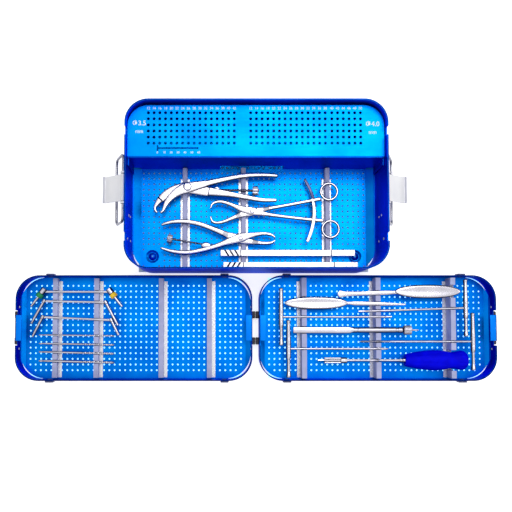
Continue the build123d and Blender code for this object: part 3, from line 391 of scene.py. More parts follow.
def bar(shell, points, thick, count=90, ring=20, power=3.2, closed=False, lap=None, wave=None,
        ends=(True, True), mid=None, ramp=(1.5, 0.5)):
    """A formed bar along points (x, y, width). It lies from z 0 to thick.

    lap is (x, y, radius, upper): inside that radius only one half of the thickness is left.
    ramp is the length of the step back to full thickness, and how much of it lies inside.
    wave is (from, to, teeth, depth, side): teeth cut along one side, as fractions of length.
    mid gives (z centre, thickness) as a function of the fraction along the bar.
    """
    path, total = smooth_path(points, count, closed)
    rings = []
    for i, (x, y, width) in enumerate(path):
        before = path[i - 1] if i or closed else path[0]
        after = path[(i + 1) % count] if i < count - 1 or closed else path[-1]
        dx, dy = after[0] - before[0], after[1] - before[1]
        run = math.hypot(dx, dy) or 1
        nx, ny = -dy / run, dx / run
        s = i / (count - 1)
        shrink = 1.0
        if not closed:
            for use, gap in ((ends[0], s * total), (ends[1], (1 - s) * total)):
                if use and gap < width / 2:
                    part = gap / (width / 2)
                    shrink = min(shrink, max(0.12, math.sqrt(max(0, 1 - (1 - part) ** 2))))
        z, h = (thick / 2, thick) if mid is None else mid(s)
        h *= shrink**0.4
        if lap:
            lx, ly, radius, upper = lap
            gap = math.hypot(x - lx, y - ly) - radius
            mix = max(0.0, min(1.0, gap / ramp[0] + ramp[1]))
            lap_z = thick * (0.75 if upper else 0.25)
            z = lap_z + (z - lap_z) * mix
            h = (thick / 2 - 0.12) + (h - thick / 2 + 0.12) * mix
        left = right = width / 2 * shrink
        if wave:
            start, stop, teeth, depth, side = wave
            if start < s < stop:
                phase = (s - start) / (stop - start) * teeth % 1
                bite = depth * phase
                if side > 0:
                    left -= bite
                else:
                    right -= bite
        loop = []
        for j in range(ring):
            a = math.tau * j / ring
            ca, sa = math.cos(a), math.sin(a)
            u = math.copysign(abs(ca) ** (2 / power), ca)
            v = math.copysign(abs(sa) ** (2 / power), sa)
            u *= left if u > 0 else right
            loop.append((x + u * nx, y + u * ny, z + v * h / 2))
        rings.append(loop)
    shell.rings(rings, closed)


def turned(shell, start, end, radius, n=60, m=32):
    """A turned form between two points; radius(distance, angle) may be a number."""
    origin, axis = Vector(start), Vector(end) - Vector(start)
    length = axis.length
    axis.normalize()
    side = axis.orthogonal().normalized()
    other = axis.cross(side)
    rings = []
    for i in range(n):
        d = length * i / (n - 1)
        loop = []
        for j in range(m):
            a = math.tau * j / m
            r = radius(d, a) if callable(radius) else radius
            p = origin + axis * d + (side * math.cos(a) + other * math.sin(a)) * r
            loop.append(tuple(p))
        rings.append(loop)
    shell.rings(rings)


def profile(points):
    """Radius as a function of distance, from (distance, radius) points."""

    def radius(d, a=0.0):
        for (d0, r0), (d1, r1) in zip(points, points[1:]):
            if d <= d1:
                return r0 + (r1 - r0) * (d - d0) / (d1 - d0) if d1 > d0 else r1
        return points[-1][1]

    return radius


def eased(points):
    """Like profile, with smooth transitions."""
    path, _ = smooth_path([(d, r, 0) for d, r in points], 160)

    def radius(d, a=0.0):
        for p, q in zip(path, path[1:]):
            if d <= q[0]:
                return p[1] + (q[1] - p[1]) * (d - p[0]) / (q[0] - p[0] or 1)
        return path[-1][1]

    return radius


def bevelled(node, width, material):
    """A copy of a CAD node with its edges broken by a bevel, in place of the node."""
    work = bmesh.new()
    work.from_mesh(NODES[node].data)
    bmesh.ops.remove_doubles(work, verts=work.verts, dist=1e-6)
    bmesh.ops.dissolve_limit(work, angle_limit=math.radians(1), verts=work.verts, edges=work.edges)
    mesh = bpy.data.meshes.new(node + "_worked")
    work.to_mesh(mesh)
    work.free()
    mesh.materials.clear()
    mesh.materials.append(material)
    piece = bpy.data.objects.new(node + "_worked", mesh)
    bpy.context.scene.collection.objects.link(piece)
    bevel = piece.modifiers.new("edges", "BEVEL")
    bevel.width = width * MM
    bevel.limit_method = "ANGLE"
    bevel.angle_limit = math.radians(30)
    for polygon in mesh.polygons:
        polygon.use_smooth = True
    bpy.context.view_layer.objects.active = piece
    piece.select_set(True)
    bpy.ops.object.modifier_apply(modifier="edges")
    piece.select_set(False)
    worked = bmesh.new()
    worked.from_mesh(piece.data)
    for edge in worked.edges:
        edge.smooth = len(edge.link_faces) == 2 and edge.calc_face_angle(0) < math.radians(28)
    worked.to_mesh(piece.data)
    worked.free()
    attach(piece, BODY_OF[node])
    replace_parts(piece, node)
    return piece


def repaint(node, material):
    """A new material on a CAD node, which keeps its mesh."""
    mesh = NODES[node].data
    mesh.materials.clear()
    mesh.materials.append(material)
    for polygon in mesh.polygons:
        polygon.material_index = 0


def centre(node):
    """The middle of a node's box in millimetres."""
    low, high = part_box(node)
    return [(a + b) / 2 / MM for a, b in zip(low, high)]


def edges(node):
    """Lowest and highest corners of a node in millimetres."""
    low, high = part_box(node)
    return [v / MM for v in low], [v / MM for v in high]


# ---------------------------------------------------------------- floor

floor_mesh = bpy.data.meshes.new("table")
REACH = 18.0
TABLE_GLOW, TRAY_GLOW, CASE_GLOW = 0.75, 1.2, 0.12
floor_mesh.from_pydata(
    [(-REACH, -REACH, 0), (REACH, -REACH, 0), (REACH, REACH, 0), (-REACH, REACH, 0)], [], [(0, 1, 2, 3)]
)
table = bpy.data.objects.new("table", floor_mesh)
table.location.z = -0.0006
bpy.context.scene.collection.objects.link(table)
table_paint = Nodes("table_paint")
table_paint.link(
    table_paint.ramp(table_paint.noise(3), (0.86, 0.86, 0.87), (0.9, 0.9, 0.9)),
    table_paint.shader.inputs["Base Color"],
)
table_paint.shader.inputs["Roughness"].default_value = 0.9
# The table glows like a lightbox, light painted into the floor: a cyan glow below the trays that lights
# their holes, a dim glow below the case and none below the rack, which is painted shade.


def over(box, inset):
    """One where the table lies under a box, shortened at both ends; elsewhere zero."""
    product = None
    for axis, low, high in (("X", box[0][0] + inset, box[1][0] - inset), ("Y", box[0][1], box[1][1])):
        for operation, limit in (("GREATER_THAN", low), ("LESS_THAN", high)):
            test = table_paint.add("ShaderNodeMath")
            test.operation = operation
            test.inputs[1].default_value = limit
            table_paint.link(where.outputs[axis], test.inputs[0])
            product = test.outputs[0] if product is None else combine("MULTIPLY", product, test.outputs[0])
    return product


def combine(operation, first, second):
    """The output of one maths node on the table's material."""
    node = table_paint.add("ShaderNodeMath")
    node.operation = operation
    table_paint.link(first, node.inputs[0])
    table_paint.link(second, node.inputs[1])
    return node.outputs[0]


where = table_paint.add("ShaderNodeSeparateXYZ")
table_paint.link(table_paint.place, where.inputs[0])
trays = combine("ADD", over(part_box("left_tray_floor"), 0.013), over(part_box("right_tray_floor"), 0.013))
covered = combine("MAXIMUM", over(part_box("case_floor"), 0.008), over(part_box("rack_plate"), 0.0))
glow = table_paint.span(trays, TABLE_GLOW, TRAY_GLOW)
glow = combine("MULTIPLY", glow, table_paint.span(covered, 1.0, CASE_GLOW))
glow = combine("MULTIPLY", glow, table_paint.span(over(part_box("rack_plate"), 0.0), 1.0, 0.0))
table_paint.link(glow, table_paint.shader.inputs["Emission Strength"])
table_paint.link(
    table_paint.ramp(combine("MAXIMUM", trays, covered), (1, 1, 1), (0.35, 0.85, 1.0), 0.4, 0.6),
    table_paint.shader.inputs["Emission Color"],
)
floor_mesh.materials.append(table_paint.material)
table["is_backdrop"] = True

# ---------------------------------------------------------------- sheet metal, strips and rims

# The wall and the apron get the darker blues of painted shade.
repaint("case_wall", SHADED_CASE_WALL_BLUE)
repaint("case_floor", BLUE_CASE_FLOOR)
repaint("rack_plate", BLUE_RACK)
repaint("rack_apron", SHADED_APRON_BLUE)
repaint("case_bracket_bases", BRIGHT_ALUMINIUM)
repaint("case_feet", RUBBER)
for tray in ("left_tray", "right_tray"):
    # Painted shade: the tray walls take the dark navy.
    repaint(f"{tray}_wall", SHADED_NAVY_BLUE)
    repaint(f"{tray}_floor", BLUE_TRAY_FLOOR)
    repaint(f"{tray}_bracket_bases", BRIGHT_ALUMINIUM)
    repaint(f"{tray}_strips", SILICONE)
    bevelled(f"{tray}_bumpers", 0.6, RUBBER)
    bevelled(f"{tray}_lugs", 0.4, LUG_SHADE)
bevelled("case_bracket_strips", 1.2, SILICONE)
bevelled("latch_brackets", 0.3, PLATE_STEEL)
for node in ("latch_left", "latch_right"):
    bevelled(node, 0.3, PLATE_STEEL)
for node in ("bail_left", "bail_right"):
    repaint(node, WIRE_STEEL)


CASE_SHEET, TRAY_SHEET = 1.8, 1.5
LATCH_NOTCH = 76.4
RIM = 1.1


def rim(name, node, material):
    """A bead along the top of a wall band, broken at its notches; its lighter blue is a painted highlight.
    """
    low, high = edges(node)
    sheet = CASE_SHEET if node == "case_wall" else TRAY_SHEET
    corner = 34.0 if node == "case_wall" else 36.0
    cx, cy = (low[0] + high[0]) / 2, (low[1] + high[1]) / 2
    hx, hy = (high[0] - low[0]) / 2 - sheet / 2, (high[1] - low[1]) / 2 - sheet / 2
    radius = corner - sheet / 2
    outline = []
    for qx, qy, a0 in ((1, 1, 0), (-1, 1, 90), (-1, -1, 180), (1, -1, 270)):
        for k in range(13):
            a = math.radians(a0 + 90 * k / 12)
            outline.append((cx + qx * (hx - radius) + radius * math.cos(a),
                            cy + qy * (hy - radius) + radius * math.sin(a)))
    if node == "case_wall":
        notches = [(LATCH_NOTCH - 6.5, LATCH_NOTCH + 6.5), (-LATCH_NOTCH - 6.5, -LATCH_NOTCH + 6.5)]
    else:
        notches = [(19.5, 26.5), (-26.5, -19.5)]
    dense = []
    for a, b in zip(outline, outline[1:] + outline[:1]):
        steps = max(1, int(math.hypot(b[0] - a[0], b[1] - a[1]) / 0.5))
        for k in range(steps):
            dense.append((a[0] + (b[0] - a[0]) * k / steps, a[1] + (b[1] - a[1]) * k / steps))

    def cut(point):
        on_end = abs(abs(point[0] - cx) - hx) < 0.6
        return on_end and any(a < point[1] - cy < b for a, b in notches)

    first = next(i for i, p in enumerate(dense) if cut(p))
    runs, run = [], []
    for p in dense[first:] + dense[:first]:
        if cut(p):
            if len(run) > 2:
                runs.append(run)
            run = []
        else:
            run.append(p)
    if len(run) > 2:
        runs.append(run)
    shell = Shell()
    top = high[2]
    for run in runs:
        slim = run[::3] + [run[-1]]
        rings = []
        for i, (x, y) in enumerate(slim):
            a, b = slim[max(0, i - 1)], slim[min(len(slim) - 1, i + 1)]
            dx, dy = b[0] - a[0], b[1] - a[1]
            length = math.hypot(dx, dy) or 1
            nx, ny = -dy / length, dx / length
            half = sheet / 2 + 0.04
            section = ((-0.96, 0), (-0.96, 0.7), (-0.5, RIM), (0.5, RIM), (0.96, 0.7), (0.96, 0))
            rings.append([(x + u * half * nx, y + u * half * ny, top - RIM + v) for u, v in section])
        shell.rings(rings)
    own_piece(name, node, shell, material)


rim("case_rim", "case_wall", RIM_HIGHLIGHT_BLUE)
rim("left_tray_rim", "left_tray_wall", TRAY_RIM_HIGHLIGHT_BLUE)
rim("right_tray_rim", "right_tray_wall", TRAY_RIM_HIGHLIGHT_BLUE)


def domes(name, body, spots, radius, height, material, replaces=()):
    """Rivet or button heads: spots are (x, y, z, direction) in millimetres."""
    shell = Shell()
    turns = [math.radians(t) for t in range(0, 86, 9)]
    crown = [(height * math.sin(t), radius * math.cos(t)) for t in turns]
    for x, y, z, way in spots:
        tip = tuple(c + w * crown[-1][0] for c, w in zip((x, y, z), way))
        turned(shell, (x, y, z), tip, profile(crown), 14, 28)
    piece = mesh_piece(name, body, shell.verts, shell.faces, material)
    if replaces:
        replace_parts(piece, *replaces)
    return piece


wall_low, wall_high = edges("case_wall")
mid_y = (wall_low[1] + wall_high[1]) / 2
inner = (wall_low[0] + CASE_SHEET, wall_high[0] - CASE_SHEET)
rivets = []
for x, way in ((inner[0], (1, 0, 0)), (inner[1], (-1, 0, 0))):
    for dy in (-40, 40):
        rivets += [(x, mid_y + dy, 57, way), (x, mid_y + dy, 41, way)]
    rivets += [(x, mid_y - 76.5, 38, way), (x, mid_y - 76.5, 70, way)]
for x, way in ((wall_low[0] - 1.5, (-1, 0, 0)), (wall_high[0] + 1.5, (1, 0, 0))):
    for dy in (-40, 40):
        rivets += [(x, mid_y + dy, 57, way), (x, mid_y + dy, 41, way)]
domes("case_rivets", "case", rivets, 2.1, 1.0, PLATE_STEEL, ("case_fasteners",))
foot_low, foot_high = edges("case_feet")
corners = [
    (x, y) for x in (foot_low[0] + 10, foot_high[0] - 10) for y in (foot_low[1] + 10, foot_high[1] - 10)
]
dish_floor = foot_high[2] + 1.5
UP = (0, 0, 1)
spots = [(x, y, dish_floor, UP) for x, y in corners]
# The buttons take the dark navy as painted shade in the dishes.
domes("foot_buttons", "case", spots, 6.2, 2.6, SHADED_NAVY_BLUE)
spots = [(x, y, dish_floor + 2.2, UP) for x, y in corners]
# The screw heads take the lighter rim blue as a painted highlight.
domes("foot_screws", "case", spots, 1.8, 1.2, RIM_HIGHLIGHT_BLUE)


def grips(tray):
    """Folded finger grips at the two ends of a tray, with rolled corners."""
    low, high = edges(f"{tray}_wall")
    y = (low[1] + high[1]) / 2
    shell = Shell()
    for x0, x1 in ((low[0] + 1.2, low[0] + 9.6), (high[0] - 9.6, high[0] - 1.2)):
        rings = []
        for inset, z in ((0.5, 30.0), (0.0, 30.12), (0.0, 30.3), (0.6, 30.45)):
            rings.append(
                [(x0 + inset, y - 19.2 + inset, z), (x1 - inset, y - 19.2 + inset, z),
                 (x1 - inset, y + 19.2 - inset, z), (x0 + inset, y + 19.2 - inset, z)]
            )
        shell.rings(rings)
    # Painted light: the grips take a lighter blue than the wall they fold from.
    mesh_piece(f"{tray}_grips", tray, shell.verts, shell.faces, LIT_GRIP_BLUE)


grips("left_tray")
grips("right_tray")
for tray in ("left_tray", "right_tray"):
    low, high = edges(f"{tray}_wall")
    y = (low[1] + high[1]) / 2
    spots = []
    for x, way in ((low[0] + TRAY_SHEET, (1, 0, 0)), (high[0] - TRAY_SHEET, (-1, 0, 0))):
        for dy in (-32, 32):
            spots += [(x, y + dy, 13, way)]
    domes(f"{tray}_rivets", tray, spots, 1.9, 1.0, PLATE_STEEL)

# ---------------------------------------------------------------- rack markings


def label(shell_name, items, material, body):
    """Generic numbers as thin raised marks: items are (text, x, y, z, height in mm)."""
    marks = []
    for index, (text, x, y, z, height) in enumerate(items):
        curve = bpy.data.curves.new(f"{shell_name}_{index}", "FONT")
        curve.body = text
        curve.size = height * MM
        curve.extrude = 0.00005
        curve.offset = 0.01 * height * MM
        curve.align_x = "CENTER"
        curve.align_y = "CENTER"
        mark = bpy.data.objects.new(f"{shell_name}_{index}", curve)
        bpy.context.scene.collection.objects.link(mark)
        mark.location = (x * MM, y * MM, z * MM)
        marks.append(mark)
    bpy.context.view_layer.update()
    graph = bpy.context.evaluated_depsgraph_get()
    work = bmesh.new()
    for mark in marks:
        mesh = bpy.data.meshes.new_from_object(mark.evaluated_get(graph))
        mesh.transform(mark.matrix_world)
        work.from_mesh(mesh)
        bpy.data.meshes.remove(mesh)
        bpy.data.objects.remove(mark)
    merged = bpy.data.meshes.new(shell_name)
    work.to_mesh(merged)
    work.free()
    merged.materials.append(material)
    piece = bpy.data.objects.new(shell_name, merged)
    bpy.context.scene.collection.objects.link(piece)
    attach(piece, body)
    return piece


rack_low, rack_high = edges("rack_plate")
rack_top = rack_high[2] + 0.04
PITCH = 8.33
marks = []
for column in range(16):
    marks.append((str(12 + 2 * column), rack_low[0] + 30.2 + PITCH * column, 196.0, rack_top, 5.0))
for column in range(20):
    extra = 1.3 if column >= 14 else 0
    x = rack_low[0] + 179 + PITCH * column + extra
    marks.append((str(12 + 2 * column), x, 196.0, rack_top, 5.0))
marks.append(("Φ3.5", -171.5, 174.0, rack_top, 9.6))
marks.append(("Φ4.0", 167.5, 172.7, rack_top, 9.6))
marks.append(("mm", -171.5, 162.0, rack_top, 7.6))
marks.append(("mm", 167.5, 160.7, rack_top, 7.6))
for step in range(7):
    marks.append((str(10 * step), -145 + 10 * step, 131.0, rack_top, 4.2))
label("rack_numbers", marks, MARKING, "case")

# ---------------------------------------------------------------- left tray instruments

# the drills' y at the left end, y at the right end and radius
DRILL_ROWS = ((-133.9, -135.3, 1.25), (-146.8, -149.1, 1.4), (-159.7, -162.6, 1.6), (-173.3, -176.2, 1.75))
drills = Shell()
for y0, y1, size in DRILL_ROWS:

    def drill_radius(d, a, size=size):
        if d < 6:
            flat = 0.72 if 1.5 < d < 4.5 and math.cos(a) > 0.2 else 1.0
            return size * (0.8 if d < 0.6 else 1.0) * flat
        if d < 8:
            return size * 0.72
        if d < 66:
            return size
        if d > 113:
            return max(0.05, size * (115.6 - d) / 2.6)
        twist = a * 2 + (d - 66) * math.tau * 2 / 13
        groove = max(0.0, math.cos(twist))
        return size * (1 - 0.42 * groove**0.8)

    turned(drills, (-331, y0, 0), (-215.5, y1, 0), drill_radius, 420, 20)
stand_for(own_piece("twist_drills_fluted", "twist_drills", drills, TOOL_STEEL), "twist_drills")

# each guide's two bar ends and two barrel tips
GUIDES = {
    "large": ((-327.0, -67.7), (-222.0, -67.9), (-344.0, -90.0), (-204.6, -90.2)),
    "medium": ((-324.5, -82.2), (-229.5, -83.9), (-343.3, -116.0), (-210.8, -119.0)),
    "small": ((-326.4, -106.6), (-220.8, -111.2), (-341.4, -136.2), (-209.4, -134.2)),
}
for size, (bar_a, bar_b, tip_a, tip_b) in GUIDES.items():
    shell = Shell()
    bar(
        shell,
        [(*bar_a, 3.9), ((bar_a[0] * 2 + bar_b[0]) / 3, (bar_a[1] * 2 + bar_b[1]) / 3, 3.3),
         ((bar_a[0] + bar_b[0] * 2) / 3, (bar_a[1] + bar_b[1] * 2) / 3, 3.3), (*bar_b, 3.9)],
        2.8, 50, 16, 3,
    )
    for root, tip in ((bar_a, tip_a), (bar_b, tip_b)):
        run = math.hypot(tip[0] - root[0], tip[1] - root[1])
        ux, uy = (tip[0] - root[0]) / run, (tip[1] - root[1]) / run
        head = 3.0 if size != "large" else 6.0
        start = (root[0] - ux * head, root[1] - uy * head, 1.4)
        length = run + head
        block = 9.0 if size == "large" else 5.6
        wide = 4.8 if size == "large" else 2.9
        outline = profile(
            [(0, wide - 0.5), (0.5, wide), (block - 0.5, wide), (block, wide - 0.5), (block + 0.1, 2.3),
             (length - 5, 2.3), (length - 4.8, 2.0), (length, 1.9)]
        )

        def guide_radius(d, a, outline=outline, length=length):
            r = outline(d)
            if d > length - 0.9 and math.cos(a * 6) > 0:
                r *= 0.86
            return r

        turned(shell, start, (tip[0], tip[1], 1.4), guide_radius, 120, 24)
    name = f"drill_guide_{size}"
    stand_for(own_piece(name + "_formed", name, shell, TOOL_STEEL, 35), name)

collar_low, collar_high = edges("guide_collars")
bar_a, bar_b, tip_a, tip_b = GUIDES["large"]
for colour, root, tip, material in (
    ("green", bar_a, tip_a, GREEN_COLLAR),
    ("yellow", bar_b, tip_b, YELLOW_COLLAR),
):
    shell = Shell()
    run = math.hypot(tip[0] - root[0], tip[1] - root[1])
    ux, uy = (tip[0] - root[0]) / run, (tip[1] - root[1]) / run
    z = (collar_low[2] + collar_high[2]) / 2
    start = (root[0] + ux * 3.4, root[1] + uy * 3.4, z)
    end = (root[0] + ux * 10.2, root[1] + uy * 10.2, z)

    def ribbed(d, a):
        edge = 0.86 if d < 0.5 or d > 6.3 else 1.0
        return 5.5 * edge * (1 - 0.035 * (math.cos(a * 18) > 0))

    turned(shell, start, end, ribbed, 14, 72)
    piece = mesh_piece(
        f"guide_collar_{colour}", "drill_guide_large", shell.verts, shell.faces, material
    )
    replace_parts(piece, "guide_collars")

# ---------------------------------------------------------------- right tray instruments

T_PROFILE = [
    (0, 1.8), (0.7, 3.2), (2.4, 3.5), (4.5, 3.3), (9, 2.6), (20, 2.35), (27, 2.5), (28.5, 3.1), (31, 3.5),
    (56, 3.6), (62, 3.25), (78, 2.9), (82, 2.8), (84, 3.1), (86, 3.2), (87, 1.6),
]
for name in ("hex_driver", "countersink", "long_driver", "bone_tap"):
    handle_low, handle_high = edges(name + "_handle")
    hx, _, hz = centre(name + "_handle")
    shell = Shell()
    outline = profile(T_PROFILE)

    def knurled(d, a, outline=outline):
        r = outline(d)
        if 36.5 < d < 50:
            r -= 0.1 * ((math.cos(a * 16 + d * 1.6) > 0) + (math.cos(a * 16 - d * 1.6) > 0))
        return r

    turned(shell, (hx, handle_low[1], hz), (hx, handle_high[1], hz), knurled, 220, 48)
    piece = own_piece(name + "_handle_turned", name + "_handle", shell, MIRROR_STEEL, 35)
    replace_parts(piece, name + "_handle")

    shaft_low, shaft_high = edges(name + "_shaft")
    _, sy, sz = centre(name + "_shaft")
    length = shaft_high[0] - shaft_low[0]
    radius = (shaft_high[2] - shaft_low[2]) / 2
    tip_right = abs(shaft_low[0] - hx) < abs(shaft_high[0] - hx)
    if name == "long_driver":
        y_left, y_right = shaft_low[1] + radius, shaft_high[1] - radius
    else:
        y_left = y_right = sy
    ends = ((shaft_low[0], y_left, sz), (shaft_high[0], y_right, sz))
    root, tip = ends if tip_right else ends[::-1]

    def shaft_radius(d, a, name=name, length=length, radius=radius):
        left = length - d
        if name in ("hex_driver", "long_driver"):
            if left < 9:
                flat = math.cos(math.pi / 6) / math.cos((a % (math.pi / 3)) - math.pi / 6)
                return radius * 0.86 * flat
            if left < 11:
                return radius * (0.86 + 0.14 * (left - 9) / 2)
            if d < 12:
                return radius * 1.0
            return radius * 0.94
        if name == "countersink":
            if left < 24:
                groove = max(0.0, math.cos(a * 3 + left * 0.35))
                taper = min(1.0, 0.25 + left / 6)
                return radius * taper * (1 - 0.35 * groove)
            return radius * 0.92
        if left < 46:
            ridge = 0.5 + 0.5 * math.cos((left * math.tau / 1.6) + a)
            flute = 0.6 if math.cos(a * 3) > 0.86 and left < 34 else 1.0
            taper = min(1.0, 0.5 + left / 8)
            return radius * taper * flute * (0.78 + 0.22 * ridge)
        return radius * (0.9 if left < 60 else 0.96)

    shell = Shell()
    turned(shell, root, tip, shaft_radius, 480 if name == "bone_tap" else 260, 24)
    piece = own_piece(name + "_shaft_turned", name + "_shaft", shell, TOOL_STEEL, 35)
    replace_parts(piece, name + "_shaft")


def elevator(node, blade, handle, blade_lift):
    """A periosteal elevator: a hollow-ground handle and a slim blade with a curved tip."""
    low, high = edges(node)
    thick = high[2] - low[2]
    shell = Shell()
    x0, x1, y, half = handle
    rings = []
    for k in range(91):
        t = 0.5 - 0.5 * math.cos(math.pi * k / 90)
        swell = max(0.05, (1 - abs(2 * t - 1) ** 2.5) ** 0.56)
        crown = max(0.2, swell**0.5)
        loop = []
        for j in range(-14, 15):
            u = j / 14
            rise = 0.5 * (1 - abs(u) ** 3) ** 0.5
            hollow = 0.2 * max(0.0, 1 - (u / 0.8) ** 2) * swell
            top = thick * (0.5 + (rise - hollow) * crown)
            loop.append((x0 + (x1 - x0) * t, y + u * half * swell, top))
        for j in range(13, -14, -1):
            u = j / 14
            drop = 0.5 * (1 - abs(u) ** 3) ** 0.5
            loop.append((x0 + (x1 - x0) * t, y + u * half * swell, thick * (0.5 - drop * crown)))
        rings.append(loop)
    shell.rings(rings)
    bar(
        shell, blade, 3.0, 90, 20, 2.6,
        mid=lambda s: (
            thick * 0.42 + blade_lift * max(0.0, 0.25 - s) * 4, 2.4 - 1.2 * max(0.0, 0.3 - s) / 0.3
        ),
    )
    stand_for(own_piece(node + "_formed", node, shell, MIRROR_STEEL), node)


elevator(
    "broad_elevator",
    [(127.5, -71.6, 13.0), (132, -71.5, 11.5), (139, -71.4, 8.4), (165, -70.7, 6.6), (200, -69.7, 6.9),
     (212, -69.3, 5.6), (224, -69.0, 6.5)],
    (214.5, 313.5, -68.0, 10.4),
    0.9,
)
elevator(
    "narrow_elevator",
    [(227.5, -87.6, 2.4), (215, -87.3, 3.4), (195, -86.8, 5.4), (165, -86.0, 6.2), (150, -85.7, 6.6),
     (142, -85.5, 4.6), (130, -85.4, 6.0)],
    (43.4, 139.4, -85.3, 9.8),
    0.6,
)

_, gy, _ = centre("depth_gauge_body")
gauge_low, gauge_high = edges("depth_gauge_body")
shell = Shell()
bar(
    shell,
    [(gauge_low[0] + 0.3, gy, 10.1), (gauge_low[0] + 40, gy, 10.1), (gauge_low[0] + 82, gy, 10.1),
     (gauge_low[0] + 87, gy, 8.6), (gauge_low[0] + 93, gy, 4.0)],
    gauge_high[2] - gauge_low[2], 90, 28, 5.0, ends=(False, False),
)
barrel = profile([(0, 3.0), (1, 4.1), (8, 4.1), (8.4, 3.7), (9.6, 3.7), (10, 4.1), (66, 4.1), (67, 3.6),
                  (70, 3.6), (70.5, 4.2), (76.5, 4.2), (77.5, 3.4)])
turned(shell, (gauge_low[0] + 88.4, gy, 4.2), (gauge_high[0], gy, 4.2), barrel, 130, 32)
stand_for(own_piece("depth_gauge_body_formed", "depth_gauge_body", shell, TOOL_STEEL), "depth_gauge_body")

_, py, pz = centre("depth_gauge_probe")
probe_low, probe_high = edges("depth_gauge_probe")
shell = Shell()


def probe_radius(d, a):
    at = probe_low[0] + d
    if 223.2 <= at <= 235.4:
        edge = 0.86 if at < 223.9 or at > 234.7 else 1.0
        return 6.9 * edge * (1 - 0.05 * (math.cos(a * 20) > 0))
    if at > 235.4:
        return 1.25 if at < 244 else 1.0
    return 0.9


turned(shell, (probe_low[0], py, pz), (probe_high[0], py, pz), probe_radius, 320, 80)
piece = own_piece("depth_gauge_probe_turned", "depth_gauge_probe", shell, TOOL_STEEL, 30)
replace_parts(piece, "depth_gauge_probe")

driver_low, driver_high = edges("screwdriver_handle")
_, dy, dz = centre("screwdriver_handle")
grip = eased([(0, 8.4), (1.5, 9.6), (16, 12.6), (36, 15.1), (52, 15.3), (66, 12.9), (71, 12.3), (77, 13.3),
              (84, 14.8), (90, 13.6), (94, 9.5), (95.5, 4.0)])


def grip_radius(d, a):
    r = grip(d)
    lobe = max(0.0, min(1.0, (d - 6) / 14, (66 - d) / 14))
    crown = max(0.0, min(1.0, (d - 78) / 4, (96 - d) / 4))
    groove = 0.05 * lobe * max(0.0, math.cos(a * 6)) ** 1.5
    return r * (1 - groove - 0.06 * crown * max(0.0, math.cos(a * 12)))


shell = Shell()
turned(shell, (driver_low[0], dy, dz), (driver_high[0], dy, dz), grip_radius, 150, 96)
piece = own_piece("screwdriver_handle_moulded", "screwdriver_handle", shell, HANDLE_BLUE, 60)
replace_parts(piece, "screwdriver_handle")

shaft_low, shaft_high = edges("screwdriver_shaft")
shell = Shell()


def driver_shaft(d, a):
    if d < 9.5:
        flat = math.cos(math.pi / 6) / math.cos((a % (math.pi / 3)) - math.pi / 6)
        return 1.7 * flat
    return 2.0 if shaft_low[0] + d > 213 else 1.9


turned(shell, (shaft_low[0], dy, dz), (shaft_high[0], dy, dz), driver_shaft, 160, 24)
ferrule = profile([(0, 2.2), (0.8, 2.7), (3, 2.8), (3.4, 2.4), (4.6, 2.4), (5, 3.4), (9, 3.6)])
turned(shell, (driver_low[0] - 8, dy, dz), (driver_low[0] + 1, dy, dz), ferrule, 40, 32)
piece = own_piece("screwdriver_shaft_turned", "screwdriver_shaft", shell, TOOL_STEEL, 35)
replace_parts(piece, "screwdriver_shaft")

sleeve_low, sleeve_high = edges("holding_sleeve")
fork = sleeve_high[0] - 10.0
shell = Shell()
for side in (-1, 1):
    at = dy + side * 3.2
    prong = [(x, at, 2.4) for x in (sleeve_low[0], sleeve_low[0] + 12, fork + 1)]
    bar(shell, prong, 7.2, 40, 20, 5.0)
tube = []
for x, r in ((fork, 3.9), (fork + 0.6, 4.4), (sleeve_high[0] - 1.2, 4.4), (sleeve_high[0], 3.6),
             (sleeve_high[0], 1.98), (fork, 1.98)):
    turns = [math.tau * k / 40 for k in range(40)]
    tube.append([(x, dy + r * math.cos(a), 3.6 + r * math.sin(a)) for a in turns])
shell.rings(tube, closed=True)
stand_for(own_piece("holding_sleeve_forked", "holding_sleeve", shell, IRON_STEEL), "holding_sleeve")

# ---------------------------------------------------------------- forceps


def along(points, widths, fuller=1.2):
    """Path points with their widths, made a little fuller for the rounded section."""
    return [(x, y, w * fuller) for (x, y), w in zip(points, widths)]


def forceps_half(node, shell):
    stand_for(own_piece(node + "_forged", node, shell, MIRROR_STEEL, 50), node)


BONE_LAP = (-109.4, 79.0, 37.7)
LONG_RAMP = (9, 0.0)
shell = Shell()
bar(
    shell,
    along(
        [(34, 110), (8, 111.7), (-20, 110), (-48, 104.8), (-76, 98.3), (-104, 92), (-117, 87), (-128, 79),
         (-135.5, 70), (-139.6, 62), (-142, 56.6), (-146, 52.6)],
        [4.4, 6.0, 6.4, 7.2, 9.0, 14.6, 12.8, 9.8, 7.4, 5.2, 4.2, 2.8], 1.1,
    ),
    9.0, 220, 28, 4.5, lap=(*BONE_LAP, True), wave=(0.93, 0.99, 5, 0.9, -1),
)
forceps_half("bone_forceps_moving_half", shell)
shell = Shell()
bar(
    shell,
    along(
        [(32, 72.6), (8, 73.2), (-14, 77), (-38, 81.6), (-58, 84.6), (-78, 87.4), (-104, 92.6), (-122, 91),
         (-136, 84), (-146, 75), (-152.4, 66.5), (-154.9, 59.5), (-151.4, 53.2)],
        [4.2, 5.8, 6.4, 7.8, 10.4, 13.2, 15.4, 12.4, 11.4, 9.8, 6.2, 4.0, 2.8], 1.1,
    ),
    9.0, 220, 28, 4.5, lap=(*BONE_LAP, False), wave=(0.935, 0.99, 5, 0.9, 1),
)
forceps_half("bone_forceps_fixed_half", shell)


